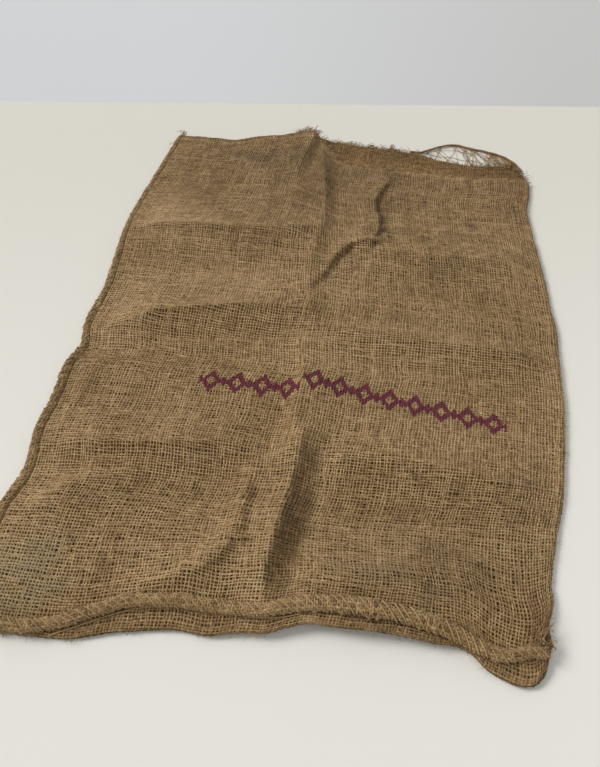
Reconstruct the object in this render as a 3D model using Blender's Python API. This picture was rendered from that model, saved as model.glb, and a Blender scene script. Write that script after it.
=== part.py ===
"""An empty jute sack lying flat on a surface, its mouth toward +Y.

One cloth is folded along the right edge and overcast with jute twine down the left side and along the
bottom. Units are metres, +Z is up, and the origin is on the surface under the middle of the sack.
"""

import math

import bmesh
import bpy
import numpy as np
from mathutils.bvhtree import BVHTree

# Cloth
WIDTH = 0.60
LENGTH = 0.84
WALL = 0.002
PUFF = 0.0100  # height of the upper face over the surface between the folds
RIM_HEIGHT = 0.0066  # height of the folded edges
RIM_FOLD = 0.3  # share of a fold's height that is left at the folded edges
RIM_SHARE = 0.012  # share of the width and length that curves round at a folded edge
PUFF_REACH = 0.060  # how far from the edges the cloth reaches its full height
MOUTH_REACH = 0.34  # share of the length over which the mouth's own outline fades
FRONT_REACH = 0.20  # the same for the bottom edge
CREASE = 1.3  # how a fold falls away from its crest: 1 is straight, more is hollow

# Middle of the outline below, which the origin lies under
MIDDLE = (0.0023, 0.0031)

# Grid lines across and along the cloth: (from share, to share, spans)
COLUMNS = (
    (0.0, RIM_SHARE, 2), (RIM_SHARE, 0.40, 9), (0.40, 0.61, 13), (0.61, 1 - RIM_SHARE, 8),
    (1 - RIM_SHARE, 1.0, 2),
)
ROWS = ((0.0, RIM_SHARE, 2), (RIM_SHARE, 0.30, 14), (0.30, 1.0, 26))

# Outline of the cloth, seen from above: (x, y)
LEFT_EDGE = (
    (-0.3005, -0.440), (-0.3035, -0.370), (-0.3025, -0.306), (-0.2935, -0.262), (-0.3015, -0.205),
    (-0.2985, -0.160), (-0.3005, -0.108), (-0.2915, -0.075), (-0.2995, -0.030), (-0.2962, 0.045),
    (-0.3062, 0.166), (-0.2972, 0.277), (-0.2852, 0.398),
)
RIGHT_EDGE = (
    (0.2785, -0.380), (0.282, -0.368), (0.281, -0.350), (0.287, -0.325), (0.286, -0.309), (0.290, -0.283),
    (0.297, -0.250), (0.304, -0.220), (0.309, -0.190), (0.312, -0.160), (0.315, -0.128), (0.318, -0.090),
    (0.318, -0.040), (0.317, 0.010), (0.317, 0.045), (0.312, 0.085), (0.308, 0.135), (0.301, 0.190),
    (0.294, 0.250), (0.290, 0.287), (0.295, 0.322), (0.296, 0.355),
)
FRONT_EDGE = (
    (-0.3005, -0.440), (-0.256, -0.439), (-0.205, -0.436), (-0.178, -0.432), (-0.150, -0.4225),
    (-0.110, -0.414), (-0.085, -0.410), (-0.054, -0.411), (-0.022, -0.4045), (0.003, -0.402),
    (0.022, -0.394), (0.042, -0.388), (0.070, -0.387), (0.100, -0.386), (0.134, -0.3855), (0.165, -0.387),
    (0.188, -0.386), (0.205, -0.391), (0.219, -0.402), (0.232, -0.4075), (0.245, -0.412), (0.258, -0.412),
    (0.267, -0.407), (0.2735, -0.397), (0.2785, -0.380),
)
UPPER_MOUTH = (
    (-0.2852, 0.398), (-0.253, 0.396), (-0.200, 0.392), (-0.180, 0.397), (-0.158, 0.406), (-0.120, 0.412),
    (-0.086, 0.418), (-0.062, 0.422), (-0.043, 0.402), (-0.026, 0.380), (-0.004, 0.358), (0.041, 0.352),
    (0.090, 0.351), (0.154, 0.348), (0.217, 0.350), (0.262, 0.358), (0.285, 0.361), (0.296, 0.355),
)
LOWER_MOUTH = (
    (-0.2852, 0.398), (-0.253, 0.402), (-0.200, 0.400), (-0.158, 0.410), (-0.110, 0.418), (-0.060, 0.426),
    (-0.030, 0.420), (0.036, 0.418), (0.087, 0.414), (0.124, 0.409), (0.154, 0.399), (0.203, 0.393),
    (0.252, 0.397), (0.272, 0.392), (0.288, 0.376), (0.296, 0.355),
)

# Folds raised in the upper layer: (name, reach to the path's left, reach to its right, (x, y, height)s)
FOLDS = (
    ("far roll", 0.110, 0.062, (
        (-0.309, 0.159, 0.0033), (-0.278, 0.157, 0.0099), (-0.231, 0.158, 0.0154), (-0.171, 0.160, 0.0176),
        (-0.105, 0.165, 0.0176), (-0.048, 0.175, 0.0143), (-0.017, 0.190, 0.006))),
    ("middle roll", 0.085, 0.044, (
        (-0.297, -0.052, 0.0044), (-0.265, -0.042, 0.0088), (-0.230, -0.028, 0.0132),
        (-0.210, -0.012, 0.0165), (-0.155, -0.001, 0.0176), (-0.104, 0.010, 0.0176),
        (-0.058, 0.017, 0.0154), (-0.018, 0.020, 0.0088), (0.006, 0.013, 0.003))),
    ("near roll", 0.110, 0.042, (
        (-0.293, -0.237, 0.0046), (-0.268, -0.224, 0.0103), (-0.221, -0.219, 0.0138),
        (-0.174, -0.216, 0.0149), (-0.130, -0.206, 0.0149), (-0.085, -0.199, 0.0126),
        (-0.050, -0.200, 0.008), (-0.021, -0.200, 0.003))),
    ("corner roll", 0.030, 0.060, (
        (-0.293, -0.324, 0.0039), (-0.269, -0.302, 0.0078), (-0.247, -0.282, 0.0091),
        (-0.219, -0.265, 0.0091), (-0.182, -0.256, 0.0078), (-0.140, -0.239, 0.0052),
        (-0.086, -0.223, 0.002))),
    ("right far roll", 0.080, 0.050, (
        (0.022, 0.153, 0.0042), (0.101, 0.153, 0.0084), (0.172, 0.152, 0.0098), (0.243, 0.155, 0.007),
        (0.300, 0.154, 0.002))),
    ("right middle roll", 0.080, 0.042, (
        (0.012, -0.004, 0.0056), (0.059, -0.010, 0.0112), (0.136, -0.012, 0.014), (0.213, -0.013, 0.0126),
        (0.263, -0.015, 0.0098), (0.302, -0.018, 0.003))),
    ("right near roll", 0.085, 0.050, (
        (0.036, -0.186, 0.0052), (0.059, -0.193, 0.0117), (0.122, -0.191, 0.0143), (0.166, -0.197, 0.0156),
        (0.211, -0.203, 0.0143), (0.255, -0.203, 0.0104), (0.295, -0.199, 0.003))),
    ("mouth fold", 0.018, 0.070, (
        (-0.060, 0.415, 0.008), (-0.070, 0.358, 0.008), (-0.072, 0.297, 0.004), (-0.062, 0.241, 0.001))),
    ("upper ridge", 0.014, 0.060, (
        (-0.043, 0.382, 0.004), (-0.028, 0.302, 0.009), (-0.018, 0.237, 0.009), (-0.018, 0.176, 0.008),
        (-0.025, 0.112, 0.007), (-0.017, 0.051, 0.005), (-0.001, 0.001, 0.002))),
    ("print ridge", 0.080, 0.016, (
        (-0.011, -0.046, 0.004), (-0.006, -0.081, 0.008), (-0.005, -0.113, 0.010), (-0.005, -0.150, 0.010),
        (-0.001, -0.184, 0.009), (0.006, -0.205, 0.005))),
    ("lower ridge", 0.030, 0.040, (
        (0.008, -0.174, 0.006), (0.006, -0.205, 0.012), (0.004, -0.237, 0.016), (0.001, -0.268, 0.018),
        (-0.003, -0.296, 0.019), (-0.005, -0.322, 0.019), (-0.008, -0.345, 0.017), (-0.005, -0.364, 0.012))),
    ("flank ridge", 0.045, 0.030, (
        (-0.005, -0.202, 0.004), (-0.031, -0.222, 0.007), (-0.041, -0.245, 0.009), (-0.041, -0.274, 0.011),
        (-0.043, -0.307, 0.012), (-0.053, -0.331, 0.013), (-0.074, -0.351, 0.012), (-0.098, -0.367, 0.008),
        (-0.130, -0.381, 0.003))),
    ("pleat", 0.005, 0.050, (
        (0.068, 0.308, 0.004), (0.056, 0.263, 0.007), (0.065, 0.225, 0.008), (0.067, 0.194, 0.008),
        (0.059, 0.170, 0.008), (0.031, 0.158, 0.008), (0.013, 0.135, 0.007), (-0.002, 0.100, 0.005),
        (-0.014, 0.075, 0.002))),
    ("seam pucker", 0.010, 0.022, (
        (-0.270, -0.097, 0.003), (-0.271, -0.135, 0.006), (-0.272, -0.168, 0.006), (-0.274, -0.200, 0.003))),
    ("hem swell", 0.050, 0.040, (
        (0.050, -0.337, 0.0052), (0.090, -0.329, 0.0104), (0.130, -0.323, 0.0104), (0.181, -0.323, 0.0078),
        (0.231, -0.331, 0.003))),
)
# Places where both layers stand off the surface, in the same columns
LIFTS = (
    ("front edge", 0.075, 0.060, (
        (-0.060, -0.412, 0.001), (0.000, -0.403, 0.005), (0.045, -0.388, 0.010), (0.100, -0.386, 0.012),
        (0.150, -0.386, 0.009), (0.200, -0.390, 0.003), (0.230, -0.402, 0.000))),
    ("mouth", 0.045, 0.060, ((-0.120, 0.420, 0.003), (-0.062, 0.428, 0.006), (-0.030, 0.420, 0.003))),
)

# Twine ridges: half width, half height, size of the stitch bulges and stitch length
SIDE_SEAM = (0.0050, 0.0040, 0.14, 0.0108)
BOTTOM_SEAM = (0.0066, 0.0042, 0.14, 0.0086)
# How thick the ridges are along their length: (share of the length, scale)
SIDE_SWELL = ((0.0, 1.05), (0.40, 1.0), (0.75, 0.75), (1.0, 0.70))
BOTTOM_SWELL = (
    (0.0, 0.90), (0.50, 0.95), (0.60, 1.10), (0.68, 1.30), (0.80, 1.30), (0.90, 1.0), (1.0, 0.85),
)
SEAM_SIDES = 6
SEAM_GAP = 0.0004
BOTTOM_SEAM_PATH = (
    (-0.298, -0.433), (-0.256, -0.431), (-0.226, -0.428), (-0.1985, -0.420), (-0.181, -0.411),
    (-0.163, -0.403), (-0.145, -0.3935), (-0.126, -0.389), (-0.100, -0.3855), (-0.065, -0.383),
    (-0.030, -0.3832), (-0.004, -0.382), (0.015, -0.376), (0.034, -0.3705), (0.053, -0.367), (0.080, -0.3652),
    (0.113, -0.365), (0.133, -0.366), (0.152, -0.368), (0.172, -0.371), (0.192, -0.377), (0.211, -0.384),
    (0.231, -0.3885), (0.246, -0.386), (0.259, -0.3815), (0.2735, -0.3805),
)

# Edge strand that has come away from the lower layer: (x, y, z)
STRAND_RADIUS = 0.0019
STRAND_SIDES = 6
STRAND_STEP = 0.006
LOOSE_SELVEDGE = (
    (0.104, 0.4150, 0.0028), (0.121, 0.4156, 0.0028), (0.139, 0.427, 0.0028), (0.160, 0.440, 0.0026),
    (0.180, 0.445, 0.0024), (0.204, 0.439, 0.0024), (0.232, 0.433, 0.0024), (0.256, 0.424, 0.0026),
    (0.273, 0.410, 0.0028), (0.281, 0.397, 0.0030), (0.2806, 0.3868, 0.0030),
)

# Frayed ends: share of the mouth's edge (from, to), spans of the strip, and the longest end
FRINGE = (0.445, 0.630, 36, 0.011)
TUFT = (0.330, 0.392, 14, 0.013)
STRIP_DEPTH = 0.0020
STRIP_THICK = 0.0014
STRIP_GAP = 0.0009
FRINGE_SEED = 5

COLOURS = {
    "jute": (0.255, 0.160, 0.075),
    "twine": (0.290, 0.185, 0.088),
    "selvedge": (0.235, 0.150, 0.070),
}


def spans(table):
    """Positions of the grid lines that a table of (from, to, count) describes."""
    lines = [np.linspace(start, stop, count + 1)[1:] for start, stop, count in table]
    return np.concatenate([[table[0][0]], *lines])


def smooth_path(points, shares):
    """Points at these shares of the length of a smooth curve through the given points."""
    points = np.array(points, float)
    padded = np.vstack([2 * points[0] - points[1], points, 2 * points[-1] - points[-2]])
    fine = []
    for a, b, c, d in zip(padded, padded[1:], padded[2:], padded[3:]):
        t = np.linspace(0, 1, 16, endpoint=False)[:, None]
        fine.append(b + 0.5 * t * (c - a + t * (2 * a - 5 * b + 4 * c - d + t * (3 * (b - c) + d - a))))
    fine = np.vstack([*fine, points[-1:]])
    length = np.concatenate([[0], np.cumsum(np.linalg.norm(np.diff(fine, axis=0), axis=1))])
    wanted = np.asarray(shares) * length[-1]
    return np.stack([np.interp(wanted, length, column) for column in fine.T], axis=-1)


def fall(distance):
    """1 at 0, falling smoothly to 0 at 1 and beyond."""
    t = np.clip(1 - distance, 0, 1)
    return t * t * (3 - 2 * t)


def crease(distance):
    """1 at the crest of a fold, falling away at once and flattening out to 0 at 1 and beyond."""
    return np.clip(1 - distance, 0, 1) ** CREASE


def fold_height(table, x, y):
    """Summed height of the folds of a table at the points x, y."""
    total = np.zeros_like(x)
    for _name, left, right, stations in table:
        nearest = np.full_like(x, np.inf)
        height = np.zeros_like(x)
        for (ax, ay, ah), (bx, by, bh) in zip(stations, stations[1:]):
            dx, dy = bx - ax, by - ay
            along = np.clip(((x - ax) * dx + (y - ay) * dy) / (dx * dx + dy * dy), 0, 1)
            gx, gy = x - ax - along * dx, y - ay - along * dy
            distance = np.hypot(gx, gy)
            side = (dx * gy - dy * gx) / (math.hypot(dx, dy) * np.maximum(distance, 1e-9))
            reach = (left + right) / 2 + side * (left - right) / 2
            scaled = distance / reach
            closer = scaled < nearest
            nearest = np.where(closer, scaled, nearest)
            height = np.where(closer, ah + along * (bh - ah), height)
        total += height * crease(nearest)
    return total


def eased(share, both_ends):
    """Position across the cloth, and how far it has risen round its folded edge, for a share of its run."""
    e = RIM_SHARE
    slope = 1 / (1 - 2 * e + 4 * e / math.pi) if both_ends else 1 / (1 - e + 2 * e / math.pi)
    share = np.asarray(share, float)
    near = np.clip(share / e, 0, 1) * math.pi / 2
    position = 2 * e / math.pi * slope * (1 - np.cos(near)) + slope * np.clip(share - e, 0, None)
    rise = np.sin(near)
    if both_ends:
        far = np.clip((1 - share) / e, 0, 1) * math.pi / 2
        turned = 1 - 2 * e / math.pi * slope * (1 - np.cos(far))
        position = np.where(share > 1 - e, turned, position)
        rise = rise * np.sin(far)
    return position, rise


def plan(u, v, mouth):
    """x and y of the cloth at shares u across and v along, with this mouth edge."""
    left, right = smooth_path(LEFT_EDGE, v), smooth_path(RIGHT_EDGE, v)
    front, far = smooth_path(FRONT_EDGE, u), smooth_path(mouth, u)
    u, v = u[..., None], v[..., None]
    front_chord = np.array(FRONT_EDGE[0]) * (1 - u) + np.array(FRONT_EDGE[-1]) * u
    mouth_chord = np.array(mouth[0]) * (1 - u) + np.array(mouth[-1]) * u
    place = left * (1 - u) + right * u
    place += (front - front_chord) * fall(v / FRONT_REACH)
    return place + (far - mouth_chord) * fall((1 - v) / MOUTH_REACH)


def heights(x, y, u, v):
    """Heights of the sack's under side, of its folded edge and of its upper side, by place."""
    floor = fold_height(LIFTS, x, y)
    edge = np.minimum(np.minimum(u, 1 - u) * WIDTH, v * LENGTH)
    full = 1 - fall(edge / PUFF_REACH)
    folds = fold_height(FOLDS, x, y) * (RIM_FOLD + (1 - RIM_FOLD) * full)
    top = floor + RIM_HEIGHT + (PUFF - RIM_HEIGHT) * full + folds
    return floor, floor + RIM_HEIGHT / 2, top


def face_points(across, along, upper, inset=0.0):
    """Grid of points on one face of the pouch: the upper or lower layer, drawn in by inset."""
    u, rise_u = eased(across, True)
    v, rise_v = eased(along, False)
    rise = np.outer(rise_u, rise_v)
    u, v = np.meshgrid(u, v, indexing="ij")
    mouth = UPPER_MOUTH if upper else LOWER_MOUTH
    skin = plan(u, v, mouth)
    floor, middle, top = heights(skin[..., 0], skin[..., 1], u, v)
    far = top - inset if upper else floor + inset
    drawn_u = inset / WIDTH + (1 - 2 * inset / WIDTH) * u
    drawn_v = inset / LENGTH + (1 - inset / LENGTH) * v
    return np.dstack([plan(drawn_u, drawn_v, mouth), middle + rise * (far - middle)])


def add_object(name, mesh, material):
    """A named object for this mesh, with its material and smooth shading."""
    mesh.materials.append(material)
    mesh.shade_smooth()
    bpy.context.collection.objects.link(bpy.data.objects.new(name, mesh))


def jute_material(name, colour, roughness):
    """A dull, dry fibre in this colour."""
    material = bpy.data.materials.new(name)
    material.use_nodes = True
    shader = material.node_tree.nodes["Principled BSDF"]
    shader.inputs["Base Color"].default_value = (*colour, 1.0)
    shader.inputs["Roughness"].default_value = roughness
    shader.inputs["Metallic"].default_value = 0.0
    return material


def pouch_skin(bm, inset, outward):
    """Both faces of the pouch at this inset, joined at the sides and bottom; returns the mouth corners."""
    across, along = spans(COLUMNS), spans(ROWS)
    upper, lower = face_points(across, along, True, inset), face_points(across, along, False, inset)
    last = len(across) - 1
    top = [[bm.verts.new(point) for point in column] for column in upper]
    bottom = [
        [top[i][j] if i in (0, last) or j == 0 else bm.verts.new(point) for j, point in enumerate(column)]
        for i, column in enumerate(lower)
    ]
    for grid, facing_up in ((top, outward), (bottom, not outward)):
        for near, far in zip(grid, grid[1:]):
            for a, b, c, d in zip(near, far, far[1:], near[1:]):
                bm.faces.new((a, b, c, d) if facing_up else (d, c, b, a))
    return [column[-1] for column in top], [column[-1] for column in bottom]


def make_sack(material):
    """The pouch: one cloth with walls of one thickness, open along the mouth."""
    bm = bmesh.new()
    outer = pouch_skin(bm, 0.0, True)
    inner = pouch_skin(bm, WALL, False)
    for upper, (out, inn) in zip((True, False), zip(outer, inner)):
        for a, b, c, d in zip(out, out[1:], inn[1:], inn):
            bm.faces.new((a, b, c, d) if upper else (d, c, b, a))
    mesh = bpy.data.meshes.new("sack")
    bm.to_mesh(mesh)
    surface = BVHTree.FromBMesh(bm)
    bm.free()
    add_object("sack", mesh, material)
    return surface


def make_tube(name, centres, size, scales, sides, twist, material):
    """A closed tube along the centres, of half width and half height size, with twist (bulge, turn)."""
    centres = np.array(centres)
    ahead = np.gradient(centres, axis=0)
    ahead[:, 2] = 0
    ahead /= np.linalg.norm(ahead, axis=1)[:, None]
    bm = bmesh.new()
    rings = []
    for index, (centre, direction, scale) in enumerate(zip(centres, ahead, scales)):
        aside = np.array([direction[1], -direction[0], 0.0])
        ring = []
        for corner in range(sides):
            angle = 2 * math.pi * (corner + 0.5) / sides
            swell = scale * (1 + twist[0] * math.cos(2 * angle - twist[1] * index))
            offset = aside * size[0] * math.cos(angle) + np.array([0, 0, size[1] * math.sin(angle)])
            ring.append(bm.verts.new(centre + offset * swell))
        rings.append(ring)
    for ring, following in zip(rings, rings[1:]):
        for corner in range(sides):
            after = (corner + 1) % sides
            bm.faces.new((ring[corner], ring[after], following[after], following[corner]))
    bm.faces.new(reversed(rings[0]))
    bm.faces.new(rings[-1])
    bmesh.ops.recalc_face_normals(bm, faces=bm.faces)
    mesh = bpy.data.meshes.new(name)
    bm.to_mesh(mesh)
    bm.free()
    add_object(name, mesh, material)


def walk(line, step):
    """Points along a line of straight runs, about a step apart, and the way ahead at each."""
    line = np.array(line)
    length = np.concatenate([[0], np.cumsum(np.linalg.norm(np.diff(line, axis=0), axis=1))])
    wanted = np.linspace(0, length[-1], max(2, round(length[-1] / step) + 1))
    points = np.stack([np.interp(wanted, length, column) for column in line.T], axis=-1)
    ahead = np.gradient(points, axis=0)
    return points, ahead / np.linalg.norm(ahead, axis=1)[:, None]


def seam_scales(table, count):
    """Scale of a ridge at this many even places along it."""
    return np.interp(np.linspace(0, 1, count), *zip(*table))


def make_side_seam(material):
    """The overcast twine ridge that lies against the cloth's left edge."""
    half_width, half_height, bulge, stitch = SIDE_SEAM
    edge = face_points(np.array([0.0]), spans(ROWS), True)[0]
    points, ahead = walk(edge[:, :2], stitch / 2)
    outward = np.stack([-ahead[:, 1], ahead[:, 0]], axis=-1)
    scales = seam_scales(SIDE_SWELL, len(points))
    flat_side = half_width * math.cos(math.pi / SEAM_SIDES) * (1 + bulge / 2)
    places = points + outward * (flat_side * scales + SEAM_GAP)[:, None]
    centres = np.column_stack([places, half_height * (1 + bulge) * scales])
    size, twist = (half_width, half_height), (bulge, math.pi)
    make_tube("side_seam", centres, size, scales, SEAM_SIDES, twist, material)


def make_bottom_seam(surface, material):
    """The overcast twine ridge along the bottom, laid on the cloth's upper side."""
    half_width, half_height, bulge, stitch = BOTTOM_SEAM
    points, ahead = walk(smooth_path(BOTTOM_SEAM_PATH, np.linspace(0, 1, 200)), stitch / 2)
    aside = np.stack([-ahead[:, 1], ahead[:, 0]], axis=-1)
    scales = seam_scales(BOTTOM_SWELL, len(points))
    under = np.zeros(len(points))
    for along in (-stitch / 3, 0, stitch / 3):
        for across in np.linspace(-half_width, half_width, 5):
            for index, spot in enumerate(points + ahead * along + aside * across * scales[:, None]):
                hit = surface.ray_cast((*spot, 1.0), (0, 0, -1))[0]
                under[index] = max(under[index], hit.z if hit else 0)
    centres = np.column_stack([points, under + half_height * (1 + bulge) * scales + SEAM_GAP])
    size, twist = (half_width, half_height), (bulge, math.pi)
    make_tube("bottom_seam", centres, size, scales, SEAM_SIDES, twist, material)


def make_loose_selvedge(material):
    """The thick edge strand that arches away from the lower layer's mouth."""
    route = np.array(LOOSE_SELVEDGE)
    length = np.linalg.norm(np.diff(route, axis=0), axis=1).sum()
    centres = smooth_path(LOOSE_SELVEDGE, np.linspace(0, 1, round(length / STRAND_STEP)))
    size = (STRAND_RADIUS, STRAND_RADIUS)
    make_tube("loose_selvedge", centres, size, np.ones(len(centres)), STRAND_SIDES, (0.0, 0.0), material)


def make_frayed_strip(name, upper, frayed, material):
    """Frayed ends standing out of a narrow strip beside the mouth's edge."""
    start, stop, count, longest = frayed
    across = spans(COLUMNS)
    edge = face_points(across, np.array([1.0]), upper)[:, 0]
    length = np.concatenate([[0], np.cumsum(np.linalg.norm(np.diff(edge[:, :2], axis=0), axis=1))])
    wanted = np.linspace(start, stop, count + 1) * length[-1]
    points = np.stack([np.interp(wanted, length, column) for column in edge.T], axis=-1)
    ahead = np.gradient(points[:, :2], axis=0)
    ahead /= np.linalg.norm(ahead, axis=1)[:, None]
    outward = np.column_stack([-ahead[:, 1], ahead[:, 0], np.zeros(count + 1)])
    level = points[:, 2] - WALL / 2 if upper else points[:, 2] + WALL / 2
    base = np.column_stack([points[:, :2], level])
    rise = np.array([0, 0, STRIP_THICK / 2])
    bm = bmesh.new()
    rings = []
    for spot, out in zip(base, outward):
        near, far = spot + out * STRIP_GAP, spot + out * (STRIP_GAP + STRIP_DEPTH)
        rings.append([bm.verts.new(place) for place in (near - rise, far - rise, far + rise, near + rise)])
    for a, b in zip(rings, rings[1:]):
        for corner in range(4):
            after = (corner + 1) % 4
            bm.faces.new((a[corner], b[corner], b[after], a[after]))
    bm.faces.new(rings[0])
    bm.faces.new(reversed(rings[-1]))
    bmesh.ops.recalc_face_normals(bm, faces=bm.faces)
    grow_ends(bm, rings, outward, longest)
    mesh = bpy.data.meshes.new(name)
    bm.to_mesh(mesh)
    bm.free()
    add_object(name, mesh, material)


def grow_ends(bm, rings, outward, longest):
    """Draws a tapering frayed end out of every second span of the strip's outer side."""
    rng = np.random.default_rng(FRINGE_SEED)
    for index in range(0, len(rings) - 1, 2):
        corners = {rings[index][1], rings[index][2], rings[index + 1][1], rings[index + 1][2]}
        face = next(face for face in corners.copy().pop().link_faces if set(face.verts) == corners)
        out = outward[index] + np.array([outward[index][1], -outward[index][0], 0]) * rng.uniform(-0.35, 0.35)
        length = longest * rng.uniform(0.35, 1.0)
        for share, width in ((0.45, 0.55), (0.55, 0.5)):
            face = bmesh.ops.extrude_discrete_faces(bm, faces=[face])["faces"][0]
            middle = face.calc_center_median()
            for vert in face.verts:
                vert.co = middle + (vert.co - middle) * width
                vert.co.x += out[0] * length * share
                vert.co.y += out[1] * length * share


def main():
    for old in list(bpy.data.objects):
        bpy.data.objects.remove(old, do_unlink=True)
    jute = jute_material("jute", COLOURS["jute"], 0.9)
    twine = jute_material("twine", COLOURS["twine"], 0.85)
    selvedge = jute_material("selvedge", COLOURS["selvedge"], 0.9)
    surface = make_sack(jute)
    make_side_seam(twine)
    make_bottom_seam(surface, twine)
    make_loose_selvedge(selvedge)
    make_frayed_strip("mouth_fringe", False, FRINGE, selvedge)
    make_frayed_strip("mouth_tuft", True, TUFT, selvedge)
    origin = bpy.data.objects.new("sack_origin", None)
    origin.location = (-MIDDLE[0], -MIDDLE[1], 0)
    bpy.context.collection.objects.link(origin)
    for piece in bpy.context.collection.objects:
        if piece.type == "MESH":
            piece.parent = origin


main()
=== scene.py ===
"""An empty jute sack lying on a table: woven yarn, overcast seams, frayed mouth and loose fibres.

Units are metres, +Z is up. The sack lies with its mouth toward +Y and its folded side toward +X.
"""

import math

import bpy
import numpy as np
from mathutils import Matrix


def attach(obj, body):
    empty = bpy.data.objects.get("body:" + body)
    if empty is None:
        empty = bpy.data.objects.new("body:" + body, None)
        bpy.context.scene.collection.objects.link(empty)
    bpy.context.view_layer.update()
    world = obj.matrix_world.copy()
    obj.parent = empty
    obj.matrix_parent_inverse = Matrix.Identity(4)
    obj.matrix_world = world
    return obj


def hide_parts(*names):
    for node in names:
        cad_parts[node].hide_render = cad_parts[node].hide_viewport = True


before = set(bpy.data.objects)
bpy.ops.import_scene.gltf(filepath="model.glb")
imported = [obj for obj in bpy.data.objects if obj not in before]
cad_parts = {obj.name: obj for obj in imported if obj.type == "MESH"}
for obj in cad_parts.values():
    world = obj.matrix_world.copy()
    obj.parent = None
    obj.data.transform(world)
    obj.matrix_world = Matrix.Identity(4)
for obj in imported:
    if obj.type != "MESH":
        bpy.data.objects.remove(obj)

bl_info = {
    "name": "Jute Sack",
    "version": (1, 0, 0),
    "blender": (4, 5, 0),
    "location": "View3D > Sidebar > Sack",
    "description": "Builds an empty woven jute sack with overcast seams and a frayed mouth",
    "category": "Add Mesh",
}

# Cloth, as the solid model has it
WIDTH = 0.60
LENGTH = 0.84
WALL = 0.002
PUFF = 0.0100
RIM_HEIGHT = 0.0066
RIM_FOLD = 0.3
RIM_SHARE = 0.012
PUFF_REACH = 0.060
CREASE = 1.3
MOUTH_REACH = 0.34
FRONT_REACH = 0.20
MIDDLE = (0.0023, 0.0031)

# Outline of the cloth, seen from above: (x, y)
LEFT_EDGE = (
    (-0.3005, -0.440), (-0.3035, -0.370), (-0.3025, -0.306), (-0.2935, -0.262), (-0.3015, -0.205),
    (-0.2985, -0.160), (-0.3005, -0.108), (-0.2915, -0.075), (-0.2995, -0.030), (-0.2962, 0.045),
    (-0.3062, 0.166), (-0.2972, 0.277), (-0.2852, 0.398),
)
RIGHT_EDGE = (
    (0.2785, -0.380), (0.282, -0.368), (0.281, -0.350), (0.287, -0.325), (0.286, -0.309), (0.290, -0.283),
    (0.297, -0.250), (0.304, -0.220), (0.309, -0.190), (0.312, -0.160), (0.315, -0.128), (0.318, -0.090),
    (0.318, -0.040), (0.317, 0.010), (0.317, 0.045), (0.312, 0.085), (0.308, 0.135), (0.301, 0.190),
    (0.294, 0.250), (0.290, 0.287), (0.295, 0.322), (0.296, 0.355),
)
FRONT_EDGE = (
    (-0.3005, -0.440), (-0.256, -0.439), (-0.205, -0.436), (-0.178, -0.432), (-0.150, -0.4225),
    (-0.110, -0.414), (-0.085, -0.410), (-0.054, -0.411), (-0.022, -0.4045), (0.003, -0.402),
    (0.022, -0.394), (0.042, -0.388), (0.070, -0.387), (0.100, -0.386), (0.134, -0.3855), (0.165, -0.387),
    (0.188, -0.386), (0.205, -0.391), (0.219, -0.402), (0.232, -0.4075), (0.245, -0.412), (0.258, -0.412),
    (0.267, -0.407), (0.2735, -0.397), (0.2785, -0.380),
)
UPPER_MOUTH = (
    (-0.2852, 0.398), (-0.253, 0.396), (-0.200, 0.392), (-0.180, 0.397), (-0.158, 0.406), (-0.120, 0.412),
    (-0.086, 0.418), (-0.062, 0.422), (-0.043, 0.402), (-0.026, 0.380), (-0.004, 0.358), (0.041, 0.352),
    (0.090, 0.351), (0.154, 0.348), (0.217, 0.350), (0.262, 0.358), (0.285, 0.361), (0.296, 0.355),
)
LOWER_MOUTH = (
    (-0.2852, 0.398), (-0.253, 0.402), (-0.200, 0.400), (-0.158, 0.410), (-0.110, 0.418), (-0.060, 0.426),
    (-0.030, 0.420), (0.036, 0.418), (0.087, 0.414), (0.124, 0.409), (0.154, 0.399), (0.203, 0.393),
    (0.252, 0.397), (0.272, 0.392), (0.288, 0.376), (0.296, 0.355),
)

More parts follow.
